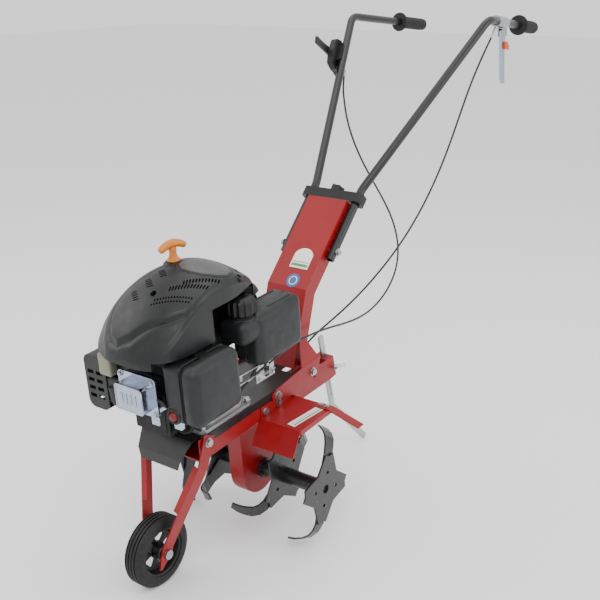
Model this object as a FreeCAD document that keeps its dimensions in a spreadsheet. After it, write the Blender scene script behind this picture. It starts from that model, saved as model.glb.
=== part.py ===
import FreeCAD, Part
import math
import os

V = FreeCAD.Vector
Rotation = FreeCAD.Rotation
Placement = FreeCAD.Placement

# Driving dimensions in millimetres and degrees. The machine is drawn level in its own design frame:
# x across (the operator's left is +x), y rearwards (the engine and the wheel are at -y),
# z up from the tine axle. The whole machine then stands nose down by machine_pitch.
DIMENSIONS = {
    "machine_pitch": 4.6,
    "tine_axle_height": 131.6,
    "frame_shift_y": -312.4,
    "sheet_thin": 2.0,
    "sheet_thick": 3.0,
    "rail_outer_x": 75.2,
    "rail_sheet": 4.0,
    "rail_length": 397.0,
    "rail_front_y": -245.0,
    "web_z": 158.0,
    "rail_height": 51.7,
    "bed_flange_x": 77.5,
    "bed_top_z": 212.0,
    "bed_length": 385.0,
    "bed_front_y": -235.0,
    "bolt_z": 198.0,
    "front_bolt_y": -226.0,
    "middle_bolt_y": 3.8,
    "rear_bolt_y": 134.3,
    "bolt_radius": 4.0,
    "bolt_hole_radius": 4.3,
    "column_half_width": 54.0,
    "column_depth": 38.0,
    "column_top_y": 340.0,
    "column_top_z": 542.0,
    "column_slope": 42.0,
    "column_foot_slope": 69.4,
    "column_straight": 238.0,
    "cheek_inner_x": 77.8,
    "crank_y": -150.0,
    "crank_radius": 12.5,
    "worm_y": 42.0,
    "worm_shaft_radius": 8.0,
    "worm_core_radius": 9.2,
    "worm_tip_radius": 14.4,
    "gear_module": 2.5,
    "gear_teeth": 24,
    "gear_width": 12.0,
    "axle_radius": 10.0,
    "axle_length": 380.0,
    "case_radius": 62.0,
    "case_half_width": 19.0,
    "case_top_z": 157.7,
    "hub_radius": 18.0,
    "hub_start_x": 26.0,
    "hub_end_x": 200.0,
    "inner_plate_x": 86.0,
    "plate_thickness": 4.0,
    "plate_arm_radius": 81.0,
    "plate_waist_radius": 50.0,
    "blade_width": 32.0,
    "guard_z": 168.0,
    "guard_outer_x": 185.0,
    "guard_front_y": -57.0,
    "guard_rear_y": 64.0,
    "fork_length": 248.2,
    "fork_width": 30.0,
    "fork_lean_start": 55.0,
    "fork_bolt_x": 28.8,
    "fork_top_x": 79.3,
    "fork_pitch": 24.2,
    "wheel_radius": 77.0,
    "wheel_half_width": 21.7,
    "rim_radius": 52.0,
    "wheel_bolt_radius": 6.0,
    "tube_radius": 10.0,
    "tube_wall": 2.0,
    "handle_x": 65.0,
    "handle_bend_x": 196.2,
    "handle_bend_y": 767.4,
    "handle_bend_z": 895.2,
    "handle_end_x": 169.3,
    "handle_end_y": 1091.0,
    "handle_end_z": 832.5,
    "handle_depth": 21.5,
    "handle_pivot_along": 123.6,
    "grip_radius": 15.5,
    "grip_length": 118.0,
    "grip_flange_radius": 25.5,
    "clutch_lever_length": 128.0,
    "drag_bar_width": 16.0,
    "drag_bar_thickness": 6.0,
    "drag_lean": 9.6,
    "belt_bottom_z": 174.0,
    "belt_height": 9.0,
    "belt_thickness": 7.7,
    "drive_floor_radius": 18.0,
    "driven_floor_radius": 27.0,
    "pulley_flange": 5.0,
    "cable_radius": 2.5,
    "housing_radius": 195.0,
    "housing_height": 190.0,
    "housing_base_z": 360.0,
    "housing_x": 8.0,
    "housing_y": -165.0,
    "housing_wall": 3.0,
    "fuel_cap_radius": 30.0,
    "fuel_cap_x": 80.0,
    "fuel_cap_y": -93.0,
    "starter_x": -14.0,
    "starter_y": -170.0,
}

doc = FreeCAD.newDocument("tiller")
subparts = []


# ---------------------------------------------------------------- document helpers


def make_sheet():
    """Write the driving dimensions into a spreadsheet, one named cell each."""
    sheet = doc.addObject("Spreadsheet::Sheet", "dims")
    for row, (name, value) in enumerate(DIMENSIONS.items(), start=1):
        sheet.set(f"A{row}", name)
        sheet.set(f"B{row}", str(value))
        sheet.setAlias(f"B{row}", name)
    doc.recompute()
    return sheet


sheet = make_sheet()


def dim(name):
    """The number that a cell of the sheet holds."""
    return float(sheet.get(name))


def bind(feature, **expressions):
    """Bind properties of a feature to expressions on the sheet, or set plain numbers."""
    for prop, value in expressions.items():
        if isinstance(value, str):
            feature.setExpression(prop, value)
        else:
            setattr(feature, prop, value)
    return feature


def machine_placement():
    """Design frame to the machine's own frame: nose down, on the ground, centred fore and aft."""
    lift = V(0, dim("frame_shift_y"), dim("tine_axle_height"))
    return Placement(lift, Rotation(V(1, 0, 0), dim("machine_pitch")))


MACHINE = machine_placement()


def keep(feature, label, at=V(0, 0, 0), turn=None):
    """Name a finished sub-part and put it at its place on the machine."""
    feature.Label = label
    feature.Placement = MACHINE.multiply(Placement(at, turn or Rotation()))
    subparts.append(feature)
    return feature


def keep_shape(shape, label, at=V(0, 0, 0), turn=None):
    """A sub-part whose form only Part's own functions can make."""
    feature = doc.addObject("Part::Feature", label)
    feature.Shape = shape
    return keep(feature, label, at, turn)


# ---------------------------------------------------------------- outline helpers


def closed_outline(points):
    """Line and arc segments of a closed outline; a point's third number rounds its corner."""
    count = len(points)
    starts, ends, arcs = [], [], []
    for index, point in enumerate(points):
        here = V(point[0], point[1], 0)
        radius = point[2] if len(point) > 2 else 0
        before = points[index - 1]
        after = points[(index + 1) % count]
        if not radius:
            starts.append(here)
            ends.append(here)
            arcs.append(None)
            continue
        back = (V(before[0], before[1], 0) - here).normalize()
        ahead = (V(after[0], after[1], 0) - here).normalize()
        half = back.getAngle(ahead) / 2
        reach = radius / math.tan(half)
        middle = (back + ahead).normalize()
        top = here + middle * (radius / math.sin(half) - radius)
        starts.append(here + back * reach)
        ends.append(here + ahead * reach)
        arcs.append(Part.Arc(starts[-1], top, ends[-1]))
    segments = []
    for index in range(count):
        if arcs[index]:
            segments.append(arcs[index])
        following = (index + 1) % count
        if ends[index].distanceToPoint(starts[following]) > 1e-6:
            segments.append(Part.LineSegment(ends[index], starts[following]))
    return segments


def rectangle(u0, v0, u1, v1, radius=0):
    """A rectangle's outline, with its corners rounded if a radius is given."""
    return closed_outline([(u0, v0, radius), (u1, v0, radius), (u1, v1, radius), (u0, v1, radius)])


def circle(u, v, radius):
    """A circle as the outline of a hole or a disc."""
    return [Part.Circle(V(u, v, 0), V(0, 0, 1), radius)]


def strip(points, thickness):
    """The outline of a strip of sheet: a polyline given its thickness on its left side."""
    offset = []
    for index, point in enumerate(points):
        here = V(point[0], point[1], 0)
        normals = []
        if index > 0:
            along = here - V(points[index - 1][0], points[index - 1][1], 0)
            normals.append(V(-along.y, along.x, 0).normalize())
        if index < len(points) - 1:
            along = V(points[index + 1][0], points[index + 1][1], 0) - here
            normals.append(V(-along.y, along.x, 0).normalize())
        mean = sum(normals, V()).normalize()
        offset.append(here + mean * (thickness / mean.dot(normals[0])))
    corners = [tuple(p[:2]) for p in points] + [(p.x, p.y) for p in reversed(offset)]
    return closed_outline(corners)


# ---------------------------------------------------------------- PartDesign helpers


def new_body(name):
    return doc.addObject("PartDesign::Body", name)


def add_sketch(body, plane, start, outlines):
    """A sketch on one of the body's own planes, moved along that plane's axis to start."""
    support = [o for o in body.Origin.OriginFeatures if o.Role == plane + "_Plane"][0]
    sketch = body.newObject("Sketcher::SketchObject", body.Name + "_sketch")
    sketch.AttachmentSupport = [(support, "")]
    sketch.MapMode = "FlatFace"
    offset = -start if plane == "XZ" else start
    sketch.AttachmentOffset = Placement(V(0, 0, offset), Rotation())
    for outline in outlines:
        for segment in outline:
            sketch.addGeometry(segment)
    return sketch


def pad(body, plane, start, length, *outlines):
    """Pad outlines from start along the plane's positive axis, by an expression or a number."""
    feature = body.newObject("PartDesign::Pad", body.Name + "_pad")
    feature.Profile = add_sketch(body, plane, start, outlines)
    feature.Reversed = plane == "XZ"
    bind(feature, Length=length)
    doc.recompute()
    return feature


def pocket_through(body, plane, *outlines):
    """Cut outlines right through the body along the plane's axis, both ways."""
    feature = body.newObject("PartDesign::Pocket", body.Name + "_pocket")
    feature.Profile = add_sketch(body, plane, 0, outlines)
    feature.Type = "ThroughAll"
    feature.SideType = "Symmetric"
    before = body.Shape.Volume
    doc.recompute()
    if body.Shape.Volume > before - 1e-3:
        raise ValueError(f"the pocket in {body.Name} cuts nothing")
    return feature


def pocket_across(body, plane, width, *outlines):
    """Cut outlines to a width that is centred on the sketch plane."""
    feature = body.newObject("PartDesign::Pocket", body.Name + "_pocket")
    feature.Profile = add_sketch(body, plane, 0, outlines)
    feature.SideType = "Symmetric"
    bind(feature, Length=width)
    before = body.Shape.Volume
    doc.recompute()
    if body.Shape.Volume > before - 1e-3:
        raise ValueError(f"the pocket in {body.Name} cuts nothing")
    return feature


def turned(name, plane, axis, *outlines):
    """A body of revolution about the horizontal or vertical axis of its sketch."""
    body = new_body(name)
    sketch = add_sketch(body, plane, 0, outlines)
    feature = body.newObject("PartDesign::Revolution", name + "_turn")
    feature.Profile = sketch
    feature.ReferenceAxis = (sketch, [axis])
    feature.Angle = 360
    doc.recompute()
    return body


# ---------------------------------------------------------------- primitive helpers


def box(name, corner, size):
    """A Part::Box from its low corner; each size is an expression or a number."""
    feature = doc.addObject("Part::Box", name)
    bind(feature, Length=size[0], Width=size[1], Height=size[2])
    feature.Placement = Placement(V(*corner), Rotation())
    return feature


def cylinder(name, at, along, radius, length):
    """A Part::Cylinder from a point along a direction; sizes are expressions or numbers."""
    feature = doc.addObject("Part::Cylinder", name)
    bind(feature, Radius=radius, Height=length)
    feature.Placement = Placement(V(*at), Rotation(V(0, 0, 1), V(*along)))
    return feature


def fuse(name, features):
    joined = doc.addObject("Part::MultiFuse", name)
    joined.Shapes = features
    doc.recompute()
    return joined


def cut(name, base, tools):
    """Cut tools out of a base; several tools are joined first."""
    tool = tools[0] if len(tools) == 1 else fuse(name + "_tools", tools)
    result = doc.addObject("Part::Cut", name)
    result.Base = base
    result.Tool = tool
    doc.recompute()
    return result


def group(name, features):
    """Separate solids that share one node, such as a set of bolts."""
    compound = doc.addObject("Part::Compound", name)
    compound.Links = features
    doc.recompute()
    return compound


# ---------------------------------------------------------------- tubes and cables


def rounded_path(points, radii):
    """Straight runs joined by tangent arcs, as one wire."""
    edges = []
    cursor = points[0]
    for index in range(1, len(points) - 1):
        here = points[index]
        back = (points[index - 1] - here).normalize()
        ahead = (points[index + 1] - here).normalize()
        half = back.getAngle(ahead) / 2
        radius = radii[index - 1]
        reach = radius / math.tan(half)
        first = here + back * reach
        last = here + ahead * reach
        middle = (back + ahead).normalize()
        top = here + middle * (radius / math.sin(half) - radius)
        edges.append(Part.LineSegment(cursor, first).toShape())
        edges.append(Part.Arc(first, top, last).toShape())
        cursor = last
    edges.append(Part.LineSegment(cursor, points[-1]).toShape())
    return Part.Wire(edges)


def swept_rod(path, radius):
    """A round rod along a wire."""
    first = path.Edges[0]
    start = first.valueAt(first.FirstParameter)
    heading = first.tangentAt(first.FirstParameter)
    profile = Part.Wire([Part.Circle(start, heading, radius).toShape()])
    return path.makePipeShell([profile], True, False)


def cable_radii(points):
    """The largest arc that the two runs beside each point allow."""
    radii = []
    for index in range(1, len(points) - 1):
        back = points[index - 1] - points[index]
        ahead = points[index + 1] - points[index]
        turn = math.pi - back.getAngle(ahead)
        shorter = min(back.Length, ahead.Length)
        radii.append(0.45 * shorter / math.tan(turn / 2))
    return radii


def make_cable(label, route):
    """A control cable's outer sheath along its route."""
    points = [V(*p) for p in route]
    radii = cable_radii(points)
    path = rounded_path(points, radii)
    rod = swept_rod(path, dim("cable_radius"))
    section = math.pi * dim("cable_radius") ** 2
    print(
        label,
        "length %.0f" % path.Length,
        "smallest radius %.0f" % min(radii),
        "volume ratio %.4f" % (rod.Volume / (section * path.Length)),
    )
    return keep_shape(rod, label)


# ---------------------------------------------------------------- frame and sheet metal


def make_chassis_frame():
    """The open-topped channel that everything is bolted to."""
    outer = dim("rail_outer_x")
    inner = outer - dim("rail_sheet")
    low = dim("web_z")
    web_top = low + dim("rail_sheet")
    high = low + dim("rail_height")
    section = closed_outline(
        [
            (-outer, low, 4),
            (outer, low, 4),
            (outer, high),
            (inner, high),
            (inner, web_top),
            (-inner, web_top),
            (-inner, high),
            (-outer, high),
        ]
    )
    body = new_body("chassis_frame")
    pad(body, "XZ", dim("rail_front_y"), "dims.rail_length", section)
    hole = dim("bolt_hole_radius")
    bolts = [circle(y, dim("bolt_z"), hole) for y in frame_bolt_places()]
    guards = [circle(y, GUARD_BOLT_Z, hole) for y in GUARD_BOLT_YS]
    pocket_through(body, "YZ", *bolts, *guards)
    web_holes = [circle(x, y, hole) for x, y in WEB_BOLTS]
    pocket_through(body, "XY", circle(0, dim("worm_y"), 16), *web_holes)
    keep(body, "chassis_frame")


def frame_bolt_places():
    return [dim("front_bolt_y"), dim("middle_bolt_y"), dim("rear_bolt_y")]


GUARD_BOLT_Z = 178.0
GUARD_BOLT_YS = (-38.0, 8.0)
CASE_BOLTS = [(x, y) for x in (-32, 32) for y in (-22, 22)]
BRACKET_BOLTS = [(-9, 132), (9, 132)]
WEB_BOLTS = CASE_BOLTS + BRACKET_BOLTS + [(50, -110)]
ENGINE_BOLTS = [(x, y) for x in (-64, 64) for y in (-220, -80)]


def make_engine_bed():
    """The folded lid over the channel that carries the engine, with the bumper at its front."""
    outer = dim("bed_flange_x")
    thin = dim("sheet_thin")
    top = dim("bed_top_z")
    low = top - 18
    section = strip([(outer, low), (outer, top), (-outer, top), (-outer, low)], thin)
    lid = new_body("bed_lid")
    pad(lid, "XZ", dim("bed_front_y"), "dims.bed_length", section)
    hole = dim("bolt_hole_radius")
    pocket_through(lid, "YZ", *[circle(y, dim("bolt_z"), hole) for y in frame_bolt_places()])
    pocket_through(
        lid,
        "XY",
        circle(0, dim("crank_y"), 32),
        rectangle(30, 82, 62, 126, 6),
        *[circle(x, y, hole) for x, y in ENGINE_BOLTS],
    )
    fold = [(-234, top - thin), (-258, top - thin), (-286, 178), (-288.5, 157)]
    panel = new_body("bed_bumper")
    pad(panel, "YZ", -70, 140, strip(fold, -thin))
    trim = new_body("bed_bumper_trim")
    pad(trim, "XZ", -300, 70, closed_outline([(-70, 214), (-50, 155), (50, 155), (70, 214)]))
    bumper = doc.addObject("Part::Common", "bed_bumper_trimmed")
    bumper.Base = panel
    bumper.Tool = trim
    doc.recompute()
    keep(fuse("engine_bed", [lid, bumper]), "engine_bed")


def column_lines():
    """Unit vectors up the column and up its foot, and the points where they meet."""
    slope = math.radians(dim("column_slope"))
    foot = math.radians(dim("column_foot_slope"))
    up = V(math.cos(slope), math.sin(slope), 0)
    foot_up = V(math.cos(foot), math.sin(foot), 0)
    top = V(dim("column_top_y"), dim("column_top_z"), 0)
    knee = top - up * dim("column_straight")
    return up, foot_up, top, knee


def offset_channel(front_gap, rear_gap, top_gap, foot_z):
    """Side outline of the column between a front offset and a rear offset, in y and z."""
    up, foot_up, top, knee = column_lines()
    back = V(up.y, -up.x, 0)
    foot_back = V(foot_up.y, -foot_up.x, 0)

    def line_pair(gap):
        high = top + back * gap + up * top_gap
        start = knee + foot_back * gap
        # the two offset lines meet where high + a * up = start + b * foot_up
        cross = up.x * foot_up.y - up.y * foot_up.x
        delta = start - high
        a = (delta.x * foot_up.y - delta.y * foot_up.x) / cross
        bend = high + up * a
        low = start + foot_up * ((foot_z - start.y) / foot_up.y)
        return high, bend, low

    front = line_pair(front_gap)
    rear = line_pair(rear_gap)
    return closed_outline([(p.x, p.y) for p in front + rear[::-1]])


def make_column():
    """The handle column: a bent channel, with cheeks outside the frame and gussets between."""
    half = dim("column_half_width")
    wall = dim("sheet_thick")
    foot_z = dim("bed_top_z") + 0.2
    channel = new_body("column_channel")
    outline = offset_channel(0, dim("column_depth"), 0, foot_z)
    pad(channel, "YZ", -half, "2 * dims.column_half_width", outline)
    inside = offset_channel(wall, dim("column_depth") + 20, 20, foot_z - 20)
    pocket_across(channel, "YZ", "2 * (dims.column_half_width - dims.sheet_thick)", inside)
    pivot = handle_pivot()
    pocket_through(channel, "YZ", circle(pivot.y, pivot.z, dim("bolt_radius") + 0.06))
    pieces = [channel]
    for side in (1, -1):
        cheek = new_body("column_cheek")
        inner = dim("cheek_inner_x")
        start = inner if side > 0 else -inner - wall
        shape = [
            (-14, 188, 5),
            (20, 186),
            (95, 160),
            (146, 160, 4),
            (168, 224),
            (95, 222),
            (0, 211),
            (-14, 206, 5),
        ]
        pad(cheek, "YZ", start, "dims.sheet_thick", closed_outline(shape))
        holes = [circle(y, dim("bolt_z"), dim("bolt_hole_radius")) for y in frame_bolt_places()[1:]]
        pocket_through(cheek, "YZ", *holes, circle(142, 182, 3))
        gusset = doc.addObject("Part::Feature", "column_gusset")
        gusset.Shape = gusset_shape(side)
        pieces += [cheek, gusset]
    keep(fuse("column", pieces), "column")


def gusset_shape(side):
    """A leaning plate from a cheek's top edge in to the column's side."""
    low_x = dim("cheek_inner_x") + 0.5
    top_x = dim("column_half_width") - 1
    corners = [V(low_x, 96, 219), V(low_x, 164, 219), V(top_x, 146, 272), V(top_x, 126, 272)]
    corners = [V(side * c.x, c.y, c.z) for c in corners]
    face = Part.Face(Part.makePolygon(corners + corners[:1]))
    normal = face.normalAt(0, 0)
    if normal.x * side < 0:
        normal = normal * -1
    return face.extrude(normal * dim("sheet_thick"))


def make_drag_bracket():
    """The rear bracket: two side plates from the frame back to a sleeve for the drag bar."""
    thick = dim("sheet_thick")
    plates = []
    for start in (-22, 22 - thick):
        plate = new_body("bracket_plate")
        shape = closed_outline([(108, 157.7), (108, 130), (150, 96), (288, 96), (288, 150), (160, 157.7)])
        pad(plate, "YZ", start, "dims.sheet_thick", shape)
        plates.append(plate)
    top = box("bracket_top", (-22, 108, 154.7), (44, 46, 3))
    lean = Rotation(V(1, 0, 0), dim("drag_lean"))
    sleeve = new_body("bracket_sleeve")
    half_x = dim("drag_bar_thickness") / 2 + 0.4
    half_y = dim("drag_bar_width") / 2 + 0.4
    outside = rectangle(-22, -half_y - thick, 22, half_y + thick, 2)
    pad(sleeve, "XY", -27, 54, outside, rectangle(-half_x, -half_y, half_x, half_y))
    pocket_through(sleeve, "YZ", circle(0, 0, 3.05))
    sleeve.Placement = Placement(drag_origin(), lean)
    solid = fuse("bracket_solid", plates + [top, sleeve])
    holes = [cylinder("bracket_hole", (x, y, 150), (0, 0, 1), "dims.bolt_hole_radius", 12)
             for x, y in BRACKET_BOLTS]
    clear = box("bracket_clear", (-half_x, -half_y, -60), (2 * half_x, 2 * half_y, 120))
    clear.Placement = Placement(drag_origin(), lean).multiply(clear.Placement)
    keep(cut("drag_bracket", solid, holes + [clear]), "drag_bracket")


def drag_origin():
    """The point on the drag bar's line where its pin crosses."""
    return V(0, 295, 124)


def make_drag_bar():
    """The flat drag bar, bent back at its foot, with the slot that its pin runs in."""
    thick = dim("drag_bar_thickness")
    half = dim("drag_bar_width") / 2
    knee_z = -125
    foot = V(112, -307.5, 0)
    along = (foot - V(0, knee_z, 0)).normalize()
    side = V(-along.y, along.x, 0)
    knee_front = V(-half, knee_z - half * 0.3, 0)
    knee_rear = V(half, knee_z + half * 0.3, 0)
    low = foot - side * half
    high = foot + side * half
    outline = closed_outline(
        [
            (-half, 86, 3),
            (knee_front.x, knee_front.y, 16),
            (low.x, low.y, 4),
            (high.x, high.y, 4),
            (knee_rear.x, knee_rear.y, 12),
            (half, 86, 3),
        ]
    )
    slot = closed_outline([(-3.2, 3.2, 3.19), (3.2, 3.2, 3.19), (3.2, -95, 3.19), (-3.2, -95, 3.19)])
    body = new_body("drag_bar")
    pad(body, "YZ", -thick / 2, "dims.drag_bar_thickness", outline, slot)
    keep(body, "drag_bar", drag_origin(), Rotation(V(1, 0, 0), dim("drag_lean")))


def make_drag_pin():
    """The bar's cross pin, bent into a ring and two legs on the operator's left."""
    shaft = cylinder("pin_shaft", (-32, 0, 0), (1, 0, 0), 3.0, 68)
    ring = doc.addObject("Part::Torus", "pin_clip")
    bind(ring, Radius1=6.0, Radius2=1.2)
    ring.Placement = Placement(V(32, 0, 2.5), Rotation(V(0, 0, 1), V(1, 0, 0)))
    legs = [cylinder("pin_leg", (32, 5, z), (0.35, 1, -0.1), 1.2, 26) for z in (-1.5, 4.5)]
    keep(fuse("drag_pin", [shaft, ring] + legs), "drag_pin", drag_origin())


def make_mudguard(side):
    """A folded guard over one set of tines: top, sloping front, outer lip and fixing flange."""
    name = "mudguard_left" if side > 0 else "mudguard_right"
    thin = dim("sheet_thin")
    inner = dim("rail_outer_x") + 0.3
    outer = dim("guard_outer_x")
    low = dim("guard_z") - 1
    fold = [(dim("guard_rear_y"), low), (dim("guard_front_y"), low), (-88, 118)]
    cover = new_body("guard_cover")
    start = inner if side > 0 else -outer
    pad(cover, "YZ", start, outer - inner, strip(fold, -thin))
    flange_x = inner if side > 0 else -inner - thin
    flange = box("guard_flange", (flange_x, -52, low), ("dims.sheet_thin", 108, 25))
    lip_x = outer - thin if side > 0 else -outer
    lip = box("guard_lip", (lip_x, -56, low - 9), ("dims.sheet_thin", 120, 10))
    rear = box("guard_rear", (start, dim("guard_rear_y") - thin, low - 8), (outer - inner, thin, 9))
    solid = fuse(name + "_solid", [cover, flange, lip, rear])
    reach = inner + thin
    holes = [cylinder("guard_hole", (-reach - 1, y, GUARD_BOLT_Z), (1, 0, 0), "dims.bolt_hole_radius", 2 * reach + 2)
             for y in GUARD_BOLT_YS]
    holes += [cylinder("guard_hole", (side * x, 53, low - 20), (0, 0, 1), 2.6, 40) for x in EXTENSION_BOLTS]
    keep(cut(name, solid, holes), name)


EXTENSION_BOLTS = (160, 176)


def make_guard_extensions():
    """The narrow strips bolted on the guards' outer rear corners, sloping down outwards."""
    low = dim("guard_z") + 1.3
    strips = []
    for side in (1, -1):
        body = new_body("extension")
        points = [(side * 152, low), (side * 186, low), (side * 262, low - 22)]
        pad(body, "XZ", 43, 20, strip(points, side * 2.5))
        pocket_through(body, "XY", *[circle(side * x, 53, 2.6) for x in EXTENSION_BOLTS])
        strips.append(body)
    keep(group("guard_extensions", strips), "guard_extensions")


def bolt(name, at, along, radius, length, head_radius, head_height):
    """A hexagon bolt with its washer; the shank starts under the washer and the head lies behind."""
    direction = V(*along).normalize()
    start = V(*at)
    shank = cylinder(name + "_shank", tuple(start), along, radius, length)
    washer_at = start - direction * 1.5
    washer = cylinder(name + "_washer", tuple(washer_at), along, head_radius * 1.25, 1.5)
    head = doc.addObject("Part::Prism", name + "_head")
    bind(head, Polygon=6, Circumradius=head_radius, Height=head_height)
    head_at = start - direction * (head_height + 1.5)
    head.Placement = Placement(head_at, Rotation(V(0, 0, 1), direction))
    return fuse(name, [shank, washer, head])


def make_frame_bolts():
    """Every bolt of the frame, the guards, the gearbox, the engine and the handle pivots."""
    bolts = []
    outside = {
        dim("front_bolt_y"): dim("fork_top_x") + 1.8,
        dim("middle_bolt_y"): dim("cheek_inner_x") + 3.2,
        dim("rear_bolt_y"): dim("cheek_inner_x") + 3.2,
    }
    for side in (1, -1):
        for y, x in outside.items():
            at = (side * x, y, dim("bolt_z"))
            bolts.append(bolt("frame_bolt", at, (-side, 0, 0), "dims.bolt_radius", x - 64, 8, 5))
        for y in GUARD_BOLT_YS:
            at = (side * 77.7, y, GUARD_BOLT_Z)
            bolts.append(bolt("guard_bolt", at, (-side, 0, 0), "dims.bolt_radius", 10, 7, 4))
        for x in EXTENSION_BOLTS:
            at = (side * x, 53, dim("guard_z") + 4.0)
            bolts.append(bolt("extension_bolt", at, (0, 0, -1), 2.4, 9, 4.5, 2.5))
        pivot = handle_pivot()
        at = (side * (dim("handle_x") + 10.4), pivot.y, pivot.z)
        bolts.append(bolt("handle_bolt", at, (-side, 0, 0), "dims.bolt_radius", 28, 7, 5))
    for x, y in CASE_BOLTS:
        bolts.append(bolt("case_bolt", (x, y, 154.5), (0, 0, 1), "dims.bolt_radius", 11, 6.5, 5))
    for x, y in BRACKET_BOLTS:
        bolts.append(bolt("bracket_bolt", (x, y, 154.5), (0, 0, 1), "dims.bolt_radius", 11, 6.5, 5))
    at = (IDLER_PIVOT.x, IDLER_PIVOT.y, 157.5)
    bolts.append(bolt("idler_bolt", at, (0, 0, 1), "dims.bolt_radius", 13, 6.5, 5))
    for x, y in ENGINE_BOLTS:
        bolts.append(bolt("engine_bolt", (x, y, 220.2), (0, 0, -1), "dims.bolt_radius", 14, 6.5, 5))
    keep(group("frame_bolts", bolts), "frame_bolts")


# ---------------------------------------------------------------- gearbox, tines and belt


def case_outline(radius, top, rib=False):
    """A case outline in y and z: straight sides over a round bottom."""
    segments = [
        Part.LineSegment(V(-radius, 0, 0), V(-radius, top, 0)),
        Part.LineSegment(V(-radius, top, 0), V(radius, top, 0)),
        Part.Arc(V(radius, 0, 0), V(0, -radius, 0), V(-radius, 0, 0)),
    ]
    if not rib:
        return segments + [Part.LineSegment(V(radius, top, 0), V(radius, 0, 0))]
    corners = [V(radius, top, 0), V(radius, 38, 0), V(27, 38, 0), V(27, 26, 0), V(radius, 26, 0), V(radius, 0, 0)]
    return segments + [Part.LineSegment(a, b) for a, b in zip(corners, corners[1:])]


def make_gearbox_shell(side):
    """One half of the gearbox case, with its fixing ears and its bearing seats."""
    name = "gearbox_left_shell" if side > 0 else "gearbox_right_shell"
    width = dim("case_half_width")
    top = dim("case_top_z")
    shell = new_body(name + "_shell")
    pad(shell, "YZ", 0 if side > 0 else -width, "dims.case_half_width", case_outline(dim("case_radius"), top))
    pocket_across(
        shell,
        "YZ",
        "2 * (dims.case_half_width - dims.sheet_thick)",
        case_outline(dim("case_radius") - 3, top - 3, rib=True),
    )
    ear_x = width - 1 if side > 0 else -width - 25
    ear = box("case_ear", (ear_x, -34, top - 3), (26, 68, 3))
    seat_x = width - 1 if side > 0 else -width - 5
    seat = cylinder("case_seat", (seat_x, 0, 0), (1, 0, 0), 22, 6)
    solid = fuse(name + "_solid", [shell, ear, seat])
    tools = [
        cylinder("axle_seat", (-40, 0, 0), (1, 0, 0), 15.05, 80),
        cylinder("worm_seat", (0, dim("worm_y"), 24), (0, 0, 1), 14.0, 140),
        cylinder("worm_room", (0, dim("worm_y"), -26), (0, 0, 1), "dims.worm_tip_radius + 0.4", 50),
    ]
    tools += [cylinder("ear_hole", (x, y, 150), (0, 0, 1), "dims.bolt_hole_radius", 12) for x, y in CASE_BOLTS]
    keep(cut(name, solid, tools), name)


def ring(name, at, along, outer, inner, length):
    """A plain bush."""
    body = cylinder(name + "_outer", at, along, outer, length)
    bore = cylinder(name + "_bore", at, along, inner, length)
    return cut(name, body, [bore])


def make_gearbox_bearings():
    """The bushes of the tine axle and of the worm shaft."""
    axle_bore = "dims.axle_radius + 0.05"
    worm_bore = "dims.worm_shaft_radius + 0.05"
    rings = [
        ring("axle_bush_left", (11, 0, 0), (1, 0, 0), 15.0, axle_bore, 13),
        ring("axle_bush_right", (-24, 0, 0), (1, 0, 0), 15.0, axle_bore, 13),
        ring("worm_bush_low", (0, dim("worm_y"), 26), (0, 0, 1), 13.95, worm_bore, 12),
        ring("worm_bush_high", (0, dim("worm_y"), 145), (0, 0, 1), 13.95, worm_bore, 12.5),
    ]
    keep(group("gearbox_bearings", rings), "gearbox_bearings")


def make_worm_shaft():
    """The vertical shaft with a single-start worm thread."""
    pitch = math.pi * dim("gear_module")
    turns_below = 2.75
    core = dim("worm_core_radius")
    tip = dim("worm_tip_radius")
    helix = Part.makeHelix(pitch, 5.5 * pitch, core - 0.3)
    foot_half = 1.5
    tip_half = 0.8
    profile = Part.makePolygon(
        [
            V(core - 0.3, 0, -foot_half),
            V(tip, 0, -tip_half),
            V(tip, 0, tip_half),
            V(core - 0.3, 0, foot_half),
            V(core - 0.3, 0, -foot_half),
        ]
    )
    thread = Part.Wire(helix).makePipeShell([profile], True, True)
    thread.translate(V(0, 0, -turns_below * pitch))
    barrel = Part.makeCylinder(core, 48, V(0, 0, -24))
    shaft = Part.makeCylinder(dim("worm_shaft_radius"), 166, V(0, 0, 24))
    keep_shape(shaft.fuse([barrel, thread]), "worm_shaft", V(0, dim("worm_y"), 0))


def make_worm_wheel():
    """The worm wheel on the tine axle: slim straight teeth round a disc."""
    teeth = int(dim("gear_teeth"))
    pitch_radius = dim("gear_module") * teeth / 2
    tip = pitch_radius + 2.2
    root = pitch_radius - 3.0
    points = []
    for index in range(teeth):
        centre = 2 * math.pi * (index + 0.5) / teeth
        for radius, half_width in ((root, 1.5), (tip, 0.8), (tip, -0.8), (root, -1.5)):
            angle = centre - half_width / radius
            points.append((radius * math.cos(angle), radius * math.sin(angle)))
    bore = circle(0, 0, dim("axle_radius") + 0.02)
    body = new_body("worm_wheel")
    pad(body, "YZ", -dim("gear_width") / 2, "dims.gear_width", closed_outline(points), bore)
    keep(body, "worm_wheel")


def make_tine_axle():
    half = dim("axle_length") / 2
    axle = cylinder("tine_axle", (-half, 0, 0), (1, 0, 0), "dims.axle_radius", "dims.axle_length")
    keep(axle, "tine_axle", V(-half, 0, 0), Rotation(V(0, 0, 1), V(1, 0, 0)))


PLATE_TURN = 75.0
INNER_TURN = 32.0


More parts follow.
